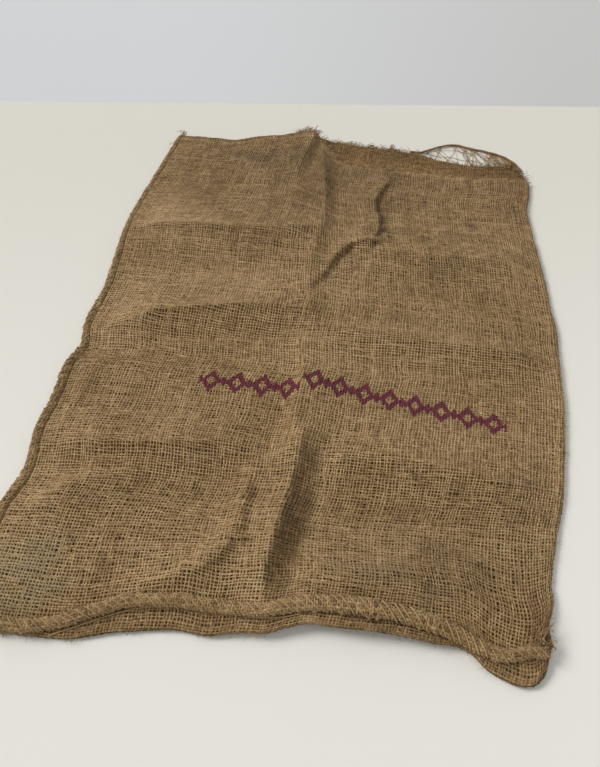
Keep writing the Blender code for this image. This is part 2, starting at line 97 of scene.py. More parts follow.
# Folds raised in the upper layer: (name, reach to the left of the path, reach to its right, (x, y, height)s)
FOLDS = (
    ("far roll", 0.110, 0.062, (
        (-0.309, 0.159, 0.0033), (-0.278, 0.157, 0.0099), (-0.231, 0.158, 0.0154), (-0.171, 0.160, 0.0176),
        (-0.105, 0.165, 0.0176), (-0.048, 0.175, 0.0143), (-0.017, 0.190, 0.006))),
    ("middle roll", 0.085, 0.044, (
        (-0.297, -0.052, 0.0044), (-0.265, -0.042, 0.0088), (-0.230, -0.028, 0.0132),
        (-0.210, -0.012, 0.0165), (-0.155, -0.001, 0.0176), (-0.104, 0.010, 0.0176),
        (-0.058, 0.017, 0.0154), (-0.018, 0.020, 0.0088), (0.006, 0.013, 0.003))),
    ("near roll", 0.110, 0.042, (
        (-0.293, -0.237, 0.0046), (-0.268, -0.224, 0.0103), (-0.221, -0.219, 0.0138),
        (-0.174, -0.216, 0.0149), (-0.130, -0.206, 0.0149), (-0.085, -0.199, 0.0126),
        (-0.050, -0.200, 0.008), (-0.021, -0.200, 0.003))),
    ("corner roll", 0.030, 0.060, (
        (-0.293, -0.324, 0.0039), (-0.269, -0.302, 0.0078), (-0.247, -0.282, 0.0091),
        (-0.219, -0.265, 0.0091), (-0.182, -0.256, 0.0078), (-0.140, -0.239, 0.0052),
        (-0.086, -0.223, 0.002))),
    ("right far roll", 0.080, 0.050, (
        (0.022, 0.153, 0.0042), (0.101, 0.153, 0.0084), (0.172, 0.152, 0.0098), (0.243, 0.155, 0.007),
        (0.300, 0.154, 0.002))),
    ("right middle roll", 0.080, 0.042, (
        (0.012, -0.004, 0.0056), (0.059, -0.010, 0.0112), (0.136, -0.012, 0.014), (0.213, -0.013, 0.0126),
        (0.263, -0.015, 0.0098), (0.302, -0.018, 0.003))),
    ("right near roll", 0.085, 0.050, (
        (0.036, -0.186, 0.0052), (0.059, -0.193, 0.0117), (0.122, -0.191, 0.0143), (0.166, -0.197, 0.0156),
        (0.211, -0.203, 0.0143), (0.255, -0.203, 0.0104), (0.295, -0.199, 0.003))),
    ("mouth fold", 0.018, 0.070, (
        (-0.060, 0.415, 0.008), (-0.070, 0.358, 0.008), (-0.072, 0.297, 0.004), (-0.062, 0.241, 0.001))),
    ("upper ridge", 0.020, 0.060, (
        (-0.043, 0.382, 0.004), (-0.028, 0.302, 0.010), (-0.018, 0.237, 0.007), (-0.018, 0.176, 0.006),
        (-0.025, 0.112, 0.005), (-0.017, 0.051, 0.004), (-0.001, 0.001, 0.002))),
    ("print ridge", 0.080, 0.016, (
        (-0.011, -0.046, 0.004), (-0.006, -0.081, 0.008), (-0.005, -0.113, 0.010), (-0.005, -0.150, 0.010),
        (-0.001, -0.184, 0.009), (0.006, -0.205, 0.005))),
    ("lower ridge", 0.030, 0.040, (
        (0.008, -0.174, 0.006), (0.006, -0.205, 0.012), (0.004, -0.237, 0.016), (0.001, -0.268, 0.018),
        (-0.003, -0.296, 0.019), (-0.005, -0.322, 0.019), (-0.008, -0.345, 0.017),
        (-0.005, -0.364, 0.012))),
    ("flank ridge", 0.045, 0.030, (
        (-0.005, -0.202, 0.004), (-0.031, -0.222, 0.007), (-0.041, -0.245, 0.009), (-0.041, -0.274, 0.011),
        (-0.043, -0.307, 0.012), (-0.053, -0.331, 0.013), (-0.074, -0.351, 0.012), (-0.098, -0.367, 0.008),
        (-0.130, -0.381, 0.003))),
    ("pleat", 0.005, 0.050, (
        (0.068, 0.308, 0.004), (0.056, 0.263, 0.007), (0.065, 0.225, 0.008), (0.067, 0.194, 0.008),
        (0.059, 0.170, 0.008), (0.031, 0.158, 0.008), (0.013, 0.135, 0.007), (-0.002, 0.100, 0.005),
        (-0.014, 0.075, 0.002))),
    ("seam pucker", 0.010, 0.022, (
        (-0.270, -0.097, 0.003), (-0.271, -0.135, 0.006), (-0.272, -0.168, 0.006),
        (-0.274, -0.200, 0.003))),
    ("hem swell", 0.050, 0.040, (
        (0.050, -0.337, 0.0052), (0.090, -0.329, 0.0104), (0.130, -0.323, 0.0104), (0.181, -0.323, 0.0078),
        (0.231, -0.331, 0.003))),
)
# Finer folds of the upper layer, written the same way
FINE_FOLDS = (
    ("flank crest", 0.016, 0.034, (
        (-0.0450, -0.2200, 0.0010), (-0.0450, -0.2600, 0.0045), (-0.0470, -0.3020, 0.0065),
        (-0.0600, -0.3260, 0.0070), (-0.0830, -0.3470, 0.0060), (-0.1080, -0.3650, 0.0045),
        (-0.1370, -0.3820, 0.0020))),
    ("seam pleat", 0.004, 0.018, (
        (-0.2729, -0.0914, 0.0010), (-0.2758, -0.1400, 0.0035), (-0.2775, -0.1781, 0.0035),
        (-0.2794, -0.2001, 0.0010))),
    ("roll dimple", 0.012, 0.016, (
        (-0.1278, -0.0183, 0.0010), (-0.1054, 0.0010, 0.0028), (-0.0810, -0.0113, 0.0020),
        (-0.0674, -0.0268, 0.0005))),
    ("far crest", 0.030, 0.010, (
        (-0.2780, 0.1560, 0.0010), (-0.2000, 0.1600, 0.0022), (-0.1050, 0.1640, 0.0022),
        (-0.0480, 0.1740, 0.0010))),
    ("middle crest", 0.026, 0.010, (
        (-0.2650, -0.0430, 0.0010), (-0.2100, -0.0130, 0.0022), (-0.1040, 0.0090, 0.0022),
        (-0.0180, 0.0190, 0.0010))),
    ("near crest", 0.026, 0.010, (
        (-0.2680, -0.2250, 0.0010), (-0.1740, -0.2170, 0.0020), (-0.1300, -0.2070, 0.0020),
        (-0.0500, -0.2010, 0.0010))),
    ("hem ripple", 0.020, 0.020, (
        (-0.1900, -0.3300, 0.0005), (-0.1850, -0.3700, 0.0025), (-0.1980, -0.4100, 0.0020))),
    ("right hem ripple", 0.020, 0.022, (
        (0.1500, -0.2700, 0.0005), (0.1620, -0.3100, 0.0022), (0.1500, -0.3500, 0.0018))),
)
# Places where both layers stand off the surface, in the same columns
LIFTS = (
    ("front edge", 0.075, 0.060, (
        (-0.060, -0.412, 0.001), (0.000, -0.403, 0.005), (0.045, -0.388, 0.010), (0.100, -0.386, 0.012),
        (0.150, -0.386, 0.009), (0.200, -0.390, 0.003), (0.230, -0.402, 0.000))),
    ("mouth", 0.045, 0.060, ((-0.120, 0.420, 0.003), (-0.062, 0.428, 0.006), (-0.030, 0.420, 0.003))),
)

# Overcast seams: half width and half height of the ridge, and stitch length
SIDE_SEAM = (0.0050, 0.0040, 0.0108)
BOTTOM_SEAM = (0.0066, 0.0042, 0.0086)
# How thick the ridges are along their length: (share of the length, scale)
SIDE_SWELL = ((0.0, 1.05), (0.40, 1.0), (0.75, 0.75), (1.0, 0.70))
BOTTOM_SWELL = ((0.0, 0.90), (0.50, 0.95), (0.60, 1.10), (0.68, 1.30), (0.80, 1.30), (0.90, 1.0), (1.0, 0.85))
# Points of the twine's path in each stitch, share of the ridge that the rolled hem fills, slant of a stitch
SEAM_TURN_POINTS = 16
SEAM_FILL = 0.90
STITCH_SLANT = 0.75
# Radius of the yarn that follows the bottom fold
FOLD_YARN = 0.0008
# How far the side seam lies out from the edge and the bottom seam above the cloth, as shares of their
# half sizes
SEAM_SEAT = (0.95, 0.85)
# Yarns of the rolled hems: pitch, how far below level the roll reaches round, rise at a crossing, widths and
# shades as shares, and the share of the roll that its filling takes
HEM_PITCH = 0.0025
HEM_WRAP = 0.45
HEM_LIFT = 0.0003
HEM_COVER = 0.95
HEM_SHADES = (0.18, 0.20)
HEM_FILLING = 0.86
# Least height of a hem yarn, and how uneven the roll is: (share, length of the fine part, of the slow part)
HEM_FLOOR = 0.0008
HEM_ROUGH = (0.09, 0.006, 0.022)
# Each hem: (yarns round it, how deep the stitches bite, shade, seed)
SIDE_HEM = (8, 0.30, 0.36, 3)
BOTTOM_HEM = (10, 0.20, 0.48, 5)
BOTTOM_SEAM_PATH = (
    (-0.298, -0.433), (-0.256, -0.431), (-0.226, -0.428), (-0.1985, -0.420), (-0.181, -0.411),
    (-0.163, -0.403), (-0.145, -0.3935), (-0.126, -0.389), (-0.100, -0.3855), (-0.065, -0.383),
    (-0.030, -0.3832), (-0.004, -0.382), (0.015, -0.376), (0.034, -0.3705), (0.053, -0.367),
    (0.080, -0.3652), (0.113, -0.365), (0.133, -0.366), (0.152, -0.368), (0.172, -0.371), (0.192, -0.377),
    (0.211, -0.384), (0.231, -0.3885), (0.246, -0.386), (0.259, -0.3815), (0.2735, -0.3805),
)
FOLD_YARN_PATH = (
    (-0.206, -0.434), (-0.196, -0.429), (-0.174, -0.4175), (-0.161, -0.4105), (-0.143, -0.402),
    (-0.124, -0.395), (-0.105, -0.391), (-0.085, -0.389), (-0.064, -0.3886), (-0.044, -0.388),
    (-0.024, -0.388), (-0.003, -0.3877), (0.016, -0.385), (0.036, -0.379),
)

# Edge strand that has come away from the lower layer: (x, y, z)
LOOSE_SELVEDGE = (
    (0.104, 0.4150, 0.0028), (0.121, 0.4156, 0.0028), (0.139, 0.427, 0.0028), (0.160, 0.440, 0.0026),
    (0.180, 0.445, 0.0024), (0.204, 0.439, 0.0024), (0.232, 0.433, 0.0024), (0.256, 0.424, 0.0026),
    (0.273, 0.410, 0.0028), (0.281, 0.397, 0.0030), (0.2806, 0.3868, 0.0030),
)

# Where yarn ends fray out: (x, y, z, heading, how many, longest, curl)
FRAYS = (
    (0.2740, -0.3760, 0.010, 0.2, 40, 0.007, 1.00), (0.2640, -0.3700, 0.0145, 1.05, 12, 0.038, 0.06),
    (0.2700, -0.3640, 0.012, 0.9, 16, 0.012, 0.40), (-0.2540, -0.4350, 0.004, -1.6, 16, 0.008, 0.60),
    (-0.2340, -0.4320, 0.004, -1.8, 14, 0.008, 0.60), (0.2640, 0.3940, 0.004, 1.0, 40, 0.012, 0.80),
    (0.2800, 0.3740, 0.005, 0.6, 22, 0.011, 0.80), (-0.2860, 0.4010, 0.007, 2.2, 10, 0.012, 0.80),
    (-0.2930, 0.3700, 0.006, 3.0, 16, 0.006, 0.90),
)

# Knots of looped yarn: (x, y, z, reach of a loop, how many loops)
KNOTS = (
    (0.2740, -0.3760, 0.0105, 0.0034, 16), (0.2725, -0.3830, 0.0090, 0.0032, 13),
    (0.2680, -0.3730, 0.0140, 0.0034, 8), (-0.2915, 0.3690, 0.0060, 0.0026, 6),
    (-0.2860, 0.3950, 0.0070, 0.0024, 4), (-0.2850, 0.4030, 0.0060, 0.0030, 1),
    (0.2620, 0.3930, 0.0060, 0.0036, 4), (0.2760, 0.3830, 0.0060, 0.0030, 3),
    (0.1300, 0.4120, 0.0050, 0.0034, 4), (0.0700, 0.4180, 0.0050, 0.0034, 4),
    (-0.0700, 0.4220, 0.0150, 0.0034, 6),
)

# Roof-shaped section of a flattened yarn, as shares of its width
YARN_CROWN = 0.42
YARN_EAVE = 0.06
# Crest value along a yarn's crown, and what is added where the yarn rises; the colour and the ink read it
# In the colour the crest is painted light: lighter crowns, and painted shade at the eaves and where a yarn
# dips
CREST = (0.45, 0.55)

# Unevenness of the yarns' places, warp and then weft, as shares of their pitch: of each yarn as a whole, then
# (fine, slow, of each yarn by itself) along them
PLACE_SPREAD = (0.10, 0.12)
PLACE_DRIFT = ((0.18, 0.35, 0.13), (0.18, 0.40, 0.14))
# Unevenness of the cloth's height, broad and fine, in metres
ROUGHNESS = (0.00030, 0.00016)
# Unevenness of the yarns' widths as shares, of each warp and weft as a whole and then along them, and of tint
WIDTH_SPREAD = (0.12, 0.14)
WIDTH_DRIFT = 0.12
TINT_RANGE = (0.42, 0.58)
TINT_DRIFT = 0.13
# Reach of a yarn's strip across the UV map, as a share of its pitch on each side
UV_REACH = 0.42

# Width of the yarns where the cloth faces the mouth, as a share, and how much of it is lost where the cloth
# faces the bottom
SLACK = (1.20, 0.22)
# Painted shade: how much darker a yarn is in the lee of a fold, and on a steep side; painted light: how much
# paler where the cloth faces the bottom; and how far in from the side edges the painted shade starts
LEE_PAINTED_SHADE = (0.40, 0.55)
NEAR_PAINTED_LIGHT = 0.10
SHADE_EDGE_MARGIN = 0.012
# Slopes, as a part of the cloth's normal: (where a change starts, over how much it grows full). The first is
# for the slack, which goes as the cloth turns from the mouth toward the bottom.
TURNING = (0.06, 0.30)
LEEWARD = (0.26, 0.30)
STEEP = (0.55, 0.30)
BOTTOMWARD = (0.05, 0.25)

# The hem below the bottom seam and the corner beside its end: (reach, how much closer, how much darker)
HEM_DENSE_DARK = (0.040, 0.22, 0.24)
CORNER_DENSE_DARK = ((0.090, 0.070), 0.30, 0.10)

# How much darker the lower layer's mouth is and over what share of its length, then how far back from the
# upper mouth the weave closes up, and how much
MOUTH_DARKENING = (0.42, 0.10)
SELVEDGE = (0.012, 0.7)

# Mouth ends: (from, to, how many, longest) for each run across the sack, lower layer and upper layer
LOWER_ENDS = ((0.40, 0.66, 230, 0.015), (0.66, 0.98, 90, 0.008))
UPPER_ENDS = (
    (0.325, 0.40, 110, 0.016), (0.0, 0.325, 110, 0.0045), (0.40, 0.66, 320, 0.013), (0.66, 1.0, 160, 0.007),
)
# Edge yarns: (upper layer or not, from, to, how far back from the mouth, radius)
EDGE_YARNS = (
    (True, 0.0, 0.40, 0.0, 0.0011), (True, 0.0, 0.40, 0.004, 0.0008), (False, 0.0, 0.42, 0.0, 0.0010),
    (False, 0.42, 0.70, 0.003, 0.0008), (True, 0.40, 1.0, 0.001, 0.0006),
)
# How many threads still cross the gap to the loose selvedge
GAP_THREADS = 100
# Yarns that hang in the gap: (height, share of the way from the cloth to the strand)
GAP_WEFTS = ((0.0012, 0.28), (0.0014, 0.70))

# Fibres: how many stand on the mouth's lower layer, on the bottom seam and along the edges
MOUTH_FIBRES = 700
SEAM_FIBRES = 600
EDGE_FIBRES = 520
# Shares of the edge fibres, added up, that stand on the left edge and on the right one
EDGE_SHARES = (0.30, 0.62)

# Noises of the materials, as scales per metre: fibres 0.2 mm thick and 3 mm long, mottling of 7 mm, clouds
# of 110 mm and ragged rims of stains of 22 mm
FIBRE_SCALE = (5000.0, 330.0, 90.0)
MOTTLE_SCALE = 150.0
CLOUD_SCALE = 9.0
RAGGED_SCALE = 45.0
# How strongly the mottling, the clouds, the fibres and the crests shade the yarns; the crests' share is
# painted highlight and painted shade
SHADE_SHARES = (0.80, 0.60, 0.50, 0.75)

# Stains and darker patches of the upper layer: (middle, size, strength, colour setting)
STAINS = (
    ((-0.135, 0.352), (0.070, 0.026), 0.50, "grey_stain"),
    ((0.020, 0.330), (0.480, 0.270), 0.92, "darker_patch"),
    ((0.160, -0.300), (0.190, 0.130), 0.95, "darker_patch"),
    ((0.180, 0.020), (0.190, 0.260), 0.55, "darker_patch"),
    ((0.281, 0.320), (0.012, 0.030), 0.50, "rust_stain"),
    ((0.272, -0.365), (0.018, 0.040), 0.60, "rust_stain"),
    ((-0.250, -0.375), (0.060, 0.070), 0.60, "damp_stain"),
    ((0.090, -0.328), (0.060, 0.022), 0.24, "damp_stain"),
    ((-0.035, 0.042), (0.005, 0.003), 0.85, "dark_yarn"),
    ((-0.034, -0.316), (0.006, 0.003), 0.85, "dark_yarn"),
    ((-0.109, 0.206), (0.004, 0.004), 0.80, "dark_yarn"),
    ((0.210, -0.303), (0.004, 0.003), 0.80, "dark_yarn"),
)
# How much light the lower layer and the edges give back beside the upper layer; the lower layer's darker,
# warmer tone is painted shade under the upper layer
LOWER_TONE = (0.82, 0.76, 0.63)
EDGE_TONE = (0.92, 0.90, 0.86)

# Stage boards: (name, size, place, turn, axis and range over which the paint changes, glow); the change is
# painted light falling off, and the glow is painted light
TABLE_TOP = (
    "table_top", (4.0, 2.6), (0.167, -0.745, 0.0), (0.0, 0.0, math.radians(7.48)), (1, 0.3, 1.25), 0.0,
)
BACK_WALL = (
    "back_wall", (20.0, 10.0), (-0.0584, 2.1514, 0.0), (math.pi / 2, 0.0, math.radians(8.5)),
    (0, -0.95, 1.14), 0.45,
)
# Lamps: (name, height and bearing in degrees, strength, spread in degrees, tone)
LAMPS = (
    ("window_light", 35, 172, 2.36, 24, (1.0, 0.97, 0.92)),
    ("room_light", 50, -60, 0.64, 90, (1.0, 0.96, 0.90)),
)
ROOM_COLOUR = (0.96, 0.98, 0.99, 1)
ROOM_STRENGTH = 0.255

# Ornament in place of the sack's marking, measured across the cloth and along it from the bottom
ORNAMENT_FROM = 0.1640
ORNAMENT_TO = 0.5300
ORNAMENT_PITCH = 0.0305
ORNAMENT_LOZENGE = (0.0128, 0.0190)
ORNAMENT_LINE = 0.60
ORNAMENT_DOT = (0.0062, 0.0090)
ORNAMENT_LEFT = 0.3285
ORNAMENT_STEP = 0.2860
ORNAMENT_RIGHT = (0.3985, -0.185)
# Ink on the crests and in the dips: share of the wear, share of the crest, least, and most in all
ORNAMENT_INK = (0.9, 0.3, 0.38, 0.94)


def to_linear(hex_code):
    """Linear red, green and blue of an sRGB hex colour."""
    parts = [int(hex_code[i:i + 2], 16) / 255 for i in (1, 3, 5)]
    return tuple(c / 12.92 if c <= 0.04045 else ((c + 0.055) / 1.055) ** 2.4 for c in parts)


def smooth_path(points, shares):
    """Points at these shares of the length of a smooth curve through the given points."""
    points = np.array(points, float)
    padded = np.vstack([2 * points[0] - points[1], points, 2 * points[-1] - points[-2]])
    fine = []
    for a, b, c, d in zip(padded, padded[1:], padded[2:], padded[3:]):
        t = np.linspace(0, 1, 16, endpoint=False)[:, None]
        fine.append(b + 0.5 * t * (c - a + t * (2 * a - 5 * b + 4 * c - d + t * (3 * (b - c) + d - a))))
    fine = np.vstack([*fine, points[-1:]])
    length = np.concatenate([[0], np.cumsum(np.linalg.norm(np.diff(fine, axis=0), axis=1))])
    wanted = np.asarray(shares) * length[-1]
    return np.stack([np.interp(wanted, length, column) for column in fine.T], axis=-1)


def fall(distance):
    """1 at 0, falling smoothly to 0 at 1 and beyond."""
    t = np.clip(1 - distance, 0, 1)
    return t * t * (3 - 2 * t)


def crease(distance):
    """1 at the crest of a fold, falling away at once and flattening out to 0 at 1 and beyond."""
    return np.clip(1 - distance, 0, 1) ** CREASE


def fold_height(table, x, y):
    """Summed height of the folds of a table at the points x, y."""
    total = np.zeros_like(x)
    for _name, left, right, stations in table:
        nearest = np.full_like(x, np.inf)
        height = np.zeros_like(x)
        for (ax, ay, ah), (bx, by, bh) in zip(stations, stations[1:]):
            dx, dy = bx - ax, by - ay
            along = np.clip(((x - ax) * dx + (y - ay) * dy) / (dx * dx + dy * dy), 0, 1)
            gx, gy = x - ax - along * dx, y - ay - along * dy
            distance = np.hypot(gx, gy)
            side = (dx * gy - dy * gx) / (math.hypot(dx, dy) * np.maximum(distance, 1e-9))
            reach = (left + right) / 2 + side * (left - right) / 2
            scaled = distance / reach
            closer = scaled < nearest
            nearest = np.where(closer, scaled, nearest)
            height = np.where(closer, ah + along * (bh - ah), height)
        total += height * crease(nearest)
    return total


def eased(share, both_ends):
    """Position across the cloth, and how far it has risen round its folded edge, for a share of its run."""
    e = RIM_SHARE
    slope = 1 / (1 - 2 * e + 4 * e / math.pi) if both_ends else 1 / (1 - e + 2 * e / math.pi)
    share = np.asarray(share, float)
    near = np.clip(share / e, 0, 1) * math.pi / 2
    position = 2 * e / math.pi * slope * (1 - np.cos(near)) + slope * np.clip(share - e, 0, None)
    rise = np.sin(near)
    if both_ends:
        far = np.clip((1 - share) / e, 0, 1) * math.pi / 2
        turned = 1 - 2 * e / math.pi * slope * (1 - np.cos(far))
        position = np.where(share > 1 - e, turned, position)
        rise = rise * np.sin(far)
    return position, rise


def plan(u, v, mouth):
    """x and y of the cloth at shares u across and v along, with this mouth edge."""
    left, right = smooth_path(LEFT_EDGE, v), smooth_path(RIGHT_EDGE, v)
    front, far = smooth_path(FRONT_EDGE, u), smooth_path(mouth, u)
    u, v = u[..., None], v[..., None]
    front_chord = np.array(FRONT_EDGE[0]) * (1 - u) + np.array(FRONT_EDGE[-1]) * u
    mouth_chord = np.array(mouth[0]) * (1 - u) + np.array(mouth[-1]) * u
    place = left * (1 - u) + right * u
    place += (front - front_chord) * fall(v / FRONT_REACH)
    return place + (far - mouth_chord) * fall((1 - v) / MOUTH_REACH)


def heights(x, y, u, v):
    """Heights of the sack's under side, of its folded edge and of its upper side, by place."""
    floor = fold_height(LIFTS, x, y)
    edge = np.minimum(np.minimum(u, 1 - u) * WIDTH, v * LENGTH)
    full = 1 - fall(edge / PUFF_REACH)
    folds = fold_height((*FOLDS, *FINE_FOLDS), x, y) * (RIM_FOLD + (1 - RIM_FOLD) * full)
    top = floor + RIM_HEIGHT + (PUFF - RIM_HEIGHT) * full + folds
    return floor, floor + RIM_HEIGHT / 2, top


def cloth_points(across, along, upper, depth=WALL / 2):
    """Points of the upper or lower layer at shares across and along, this deep inside its outer face."""
    u, rise_u = eased(across, True)
    v, rise_v = eased(along, False)
    mouth = UPPER_MOUTH if upper else LOWER_MOUTH
    skin = plan(u, v, mouth)
    floor, middle, top = heights(skin[..., 0], skin[..., 1], u, v)
    far = top - depth if upper else floor + depth
    drawn_u = depth / WIDTH + (1 - 2 * depth / WIDTH) * u
    drawn_v = depth / LENGTH + (1 - depth / LENGTH) * v
    place = plan(drawn_u, drawn_v, mouth) - np.array(MIDDLE)
    return np.concatenate([place, (middle + rise_u * rise_v * (far - middle))[..., None]], axis=-1)


def unit(vectors):
    """The vectors at length 1."""
    return vectors / np.maximum(np.linalg.norm(vectors, axis=-1, keepdims=True), 1e-12)


def drift(rng, rows, length, row_knots, knots):
    """Smooth random values in rows, changing slowly along each row and from row to row."""
    coarse = rng.normal(size=(row_knots + 1, knots + 1))
    at_row, at = np.linspace(0, row_knots, rows), np.linspace(0, knots, length)
    i, j = np.minimum(at_row.astype(int), row_knots - 1), np.minimum(at.astype(int), knots - 1)
    s, t = (at_row - i)[:, None], (at - j)[None, :]
    s, t = s * s * (3 - 2 * s), t * t * (3 - 2 * t)
    a, b = coarse[i][:, j], coarse[i][:, j + 1]
    c, d = coarse[i + 1][:, j], coarse[i + 1][:, j + 1]
    return (a * (1 - t) + b * t) * (1 - s) + (c * (1 - t) + d * t) * s


def make_piece(name, points, quads, uv, values, material):
    """A smooth mesh object from arrays: its UVs, its named point values and its material."""
    points = np.array(points)
    points[:, 2] = np.maximum(points[:, 2], 0.0)
    mesh = bpy.data.meshes.new(name)
    mesh.vertices.add(len(points))
    mesh.vertices.foreach_set("co", np.ascontiguousarray(points, np.float32).ravel())
    mesh.loops.add(quads.size)
    mesh.loops.foreach_set("vertex_index", quads.astype(np.int32).ravel())
    mesh.polygons.add(len(quads))
    mesh.polygons.foreach_set("loop_start", np.arange(0, quads.size, 4, dtype=np.int32))
    mesh.update(calc_edges=True)
    layer = mesh.uv_layers.new(name="OFBake")
    layer.data.foreach_set("uv", np.ascontiguousarray(uv[quads.ravel()], np.float32).ravel())
    for key, value in values.items():
        attribute = mesh.attributes.new(key, "FLOAT", "POINT")
        attribute.data.foreach_set("value", np.ascontiguousarray(value, np.float32).ravel())
    mesh.materials.append(material)
    mesh.shade_smooth()
    piece = bpy.data.objects.new(name, mesh)
    bpy.context.scene.collection.objects.link(piece)
    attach(piece, "root")
    return piece


def ribbons(name, points, normal, side, lift, width, flat_uv, tint, material):
    """Flattened yarns: one roof-shaped ribbon along each row of points."""
    width3, lift3 = width[..., None], lift[..., None]
    crown = points + normal * (lift3 + width3 * YARN_CROWN)
    eave = points + normal * (lift3 - width3 * YARN_EAVE)
    verts = np.stack([eave - side * width3 / 2, crown, eave + side * width3 / 2], axis=2)
    rows, length = points.shape[:2]
    index = np.arange(rows * length * 3).reshape(rows, length, 3)
    strips = [
        np.stack([index[:, :-1, m], index[:, :-1, m + 1], index[:, 1:, m + 1], index[:, 1:, m]], axis=-1)
        for m in (0, 1)
    ]
    quads = np.concatenate([strip.reshape(-1, 4) for strip in strips])
    # Crest: painted shade at the eaves, painted highlight along the crown, most where the yarn rises over a
    # crossing
    crest = np.zeros((rows, length, 3))
    crest[..., 1] = CREST[0]
    crest += CREST[1] * (lift[..., None] > 0)
    run = np.cumsum(np.linalg.norm(np.diff(points, axis=1, prepend=points[:, :1]), axis=-1), axis=1)
    values = {
        "tint": np.repeat(tint[..., None], 3, axis=2),
        "crest": crest,
        "along": np.repeat(run[..., None], 3, axis=2),
        "around": width3 * np.array([-0.6, 0.0, 0.6]),
    }
    return make_piece(name, verts.reshape(-1, 3), quads, flat_uv.reshape(-1, 2), values, material)


def tubes(name, paths, radius, sides, material, up=(0.0, 0.0, 1.0), plies=(0, 0.0, 1.0), tint=None, flat=1.0):
    """Round yarns along rows of points. plies is (number, depth of the grooves, twist length)."""
    paths = np.asarray(paths, float)
    rows, length = paths.shape[:2]
    ahead = unit(np.gradient(paths, axis=1))
    aside = unit(np.cross(ahead, np.broadcast_to(up, paths.shape)))
    above = np.cross(aside, ahead)
    run = np.cumsum(np.linalg.norm(np.diff(paths, axis=1, prepend=paths[:, :1]), axis=-1), axis=1)
    angle = 2 * math.pi * np.arange(sides) / sides
    twist = angle - 2 * math.pi * run[..., None] / plies[2]
    groove = 1 + plies[1] * np.cos(plies[0] * twist) if plies[0] else 1.0
    reach = np.broadcast_to(radius, (rows, length))[..., None] * groove * np.ones(sides)
    verts = paths[:, :, None] + (
        aside[:, :, None] * (np.cos(angle) * reach)[..., None]
        + above[:, :, None] * (flat * np.sin(angle) * reach)[..., None]
    )
    index = np.arange(rows * length * sides).reshape(rows, length, sides)
    turned = np.roll(index, -1, axis=2)
    quads = np.stack([index[:, :-1], turned[:, :-1], turned[:, 1:], index[:, 1:]], axis=-1).reshape(-1, 4)
    row_share = (np.arange(rows)[:, None, None] + 0.9 * np.arange(sides) / sides) / rows
    uv = np.stack(np.broadcast_arrays(row_share, (run / np.maximum(run[:, -1:], 1e-9))[..., None]), axis=-1)
    rng = np.random.default_rng(len(name) * 31 + rows)
    shade = rng.uniform(0, 1, rows) if tint is None else np.broadcast_to(tint, rows)
    values = {
        "tint": np.broadcast_to(shade[:, None, None], reach.shape),
        "crest": np.full(reach.shape, 0.5),
        "along": np.broadcast_to(run[..., None], reach.shape),
        "around": reach * angle,
    }
    return make_piece(name, verts.reshape(-1, 3), quads, uv.reshape(-1, 2), values, material)


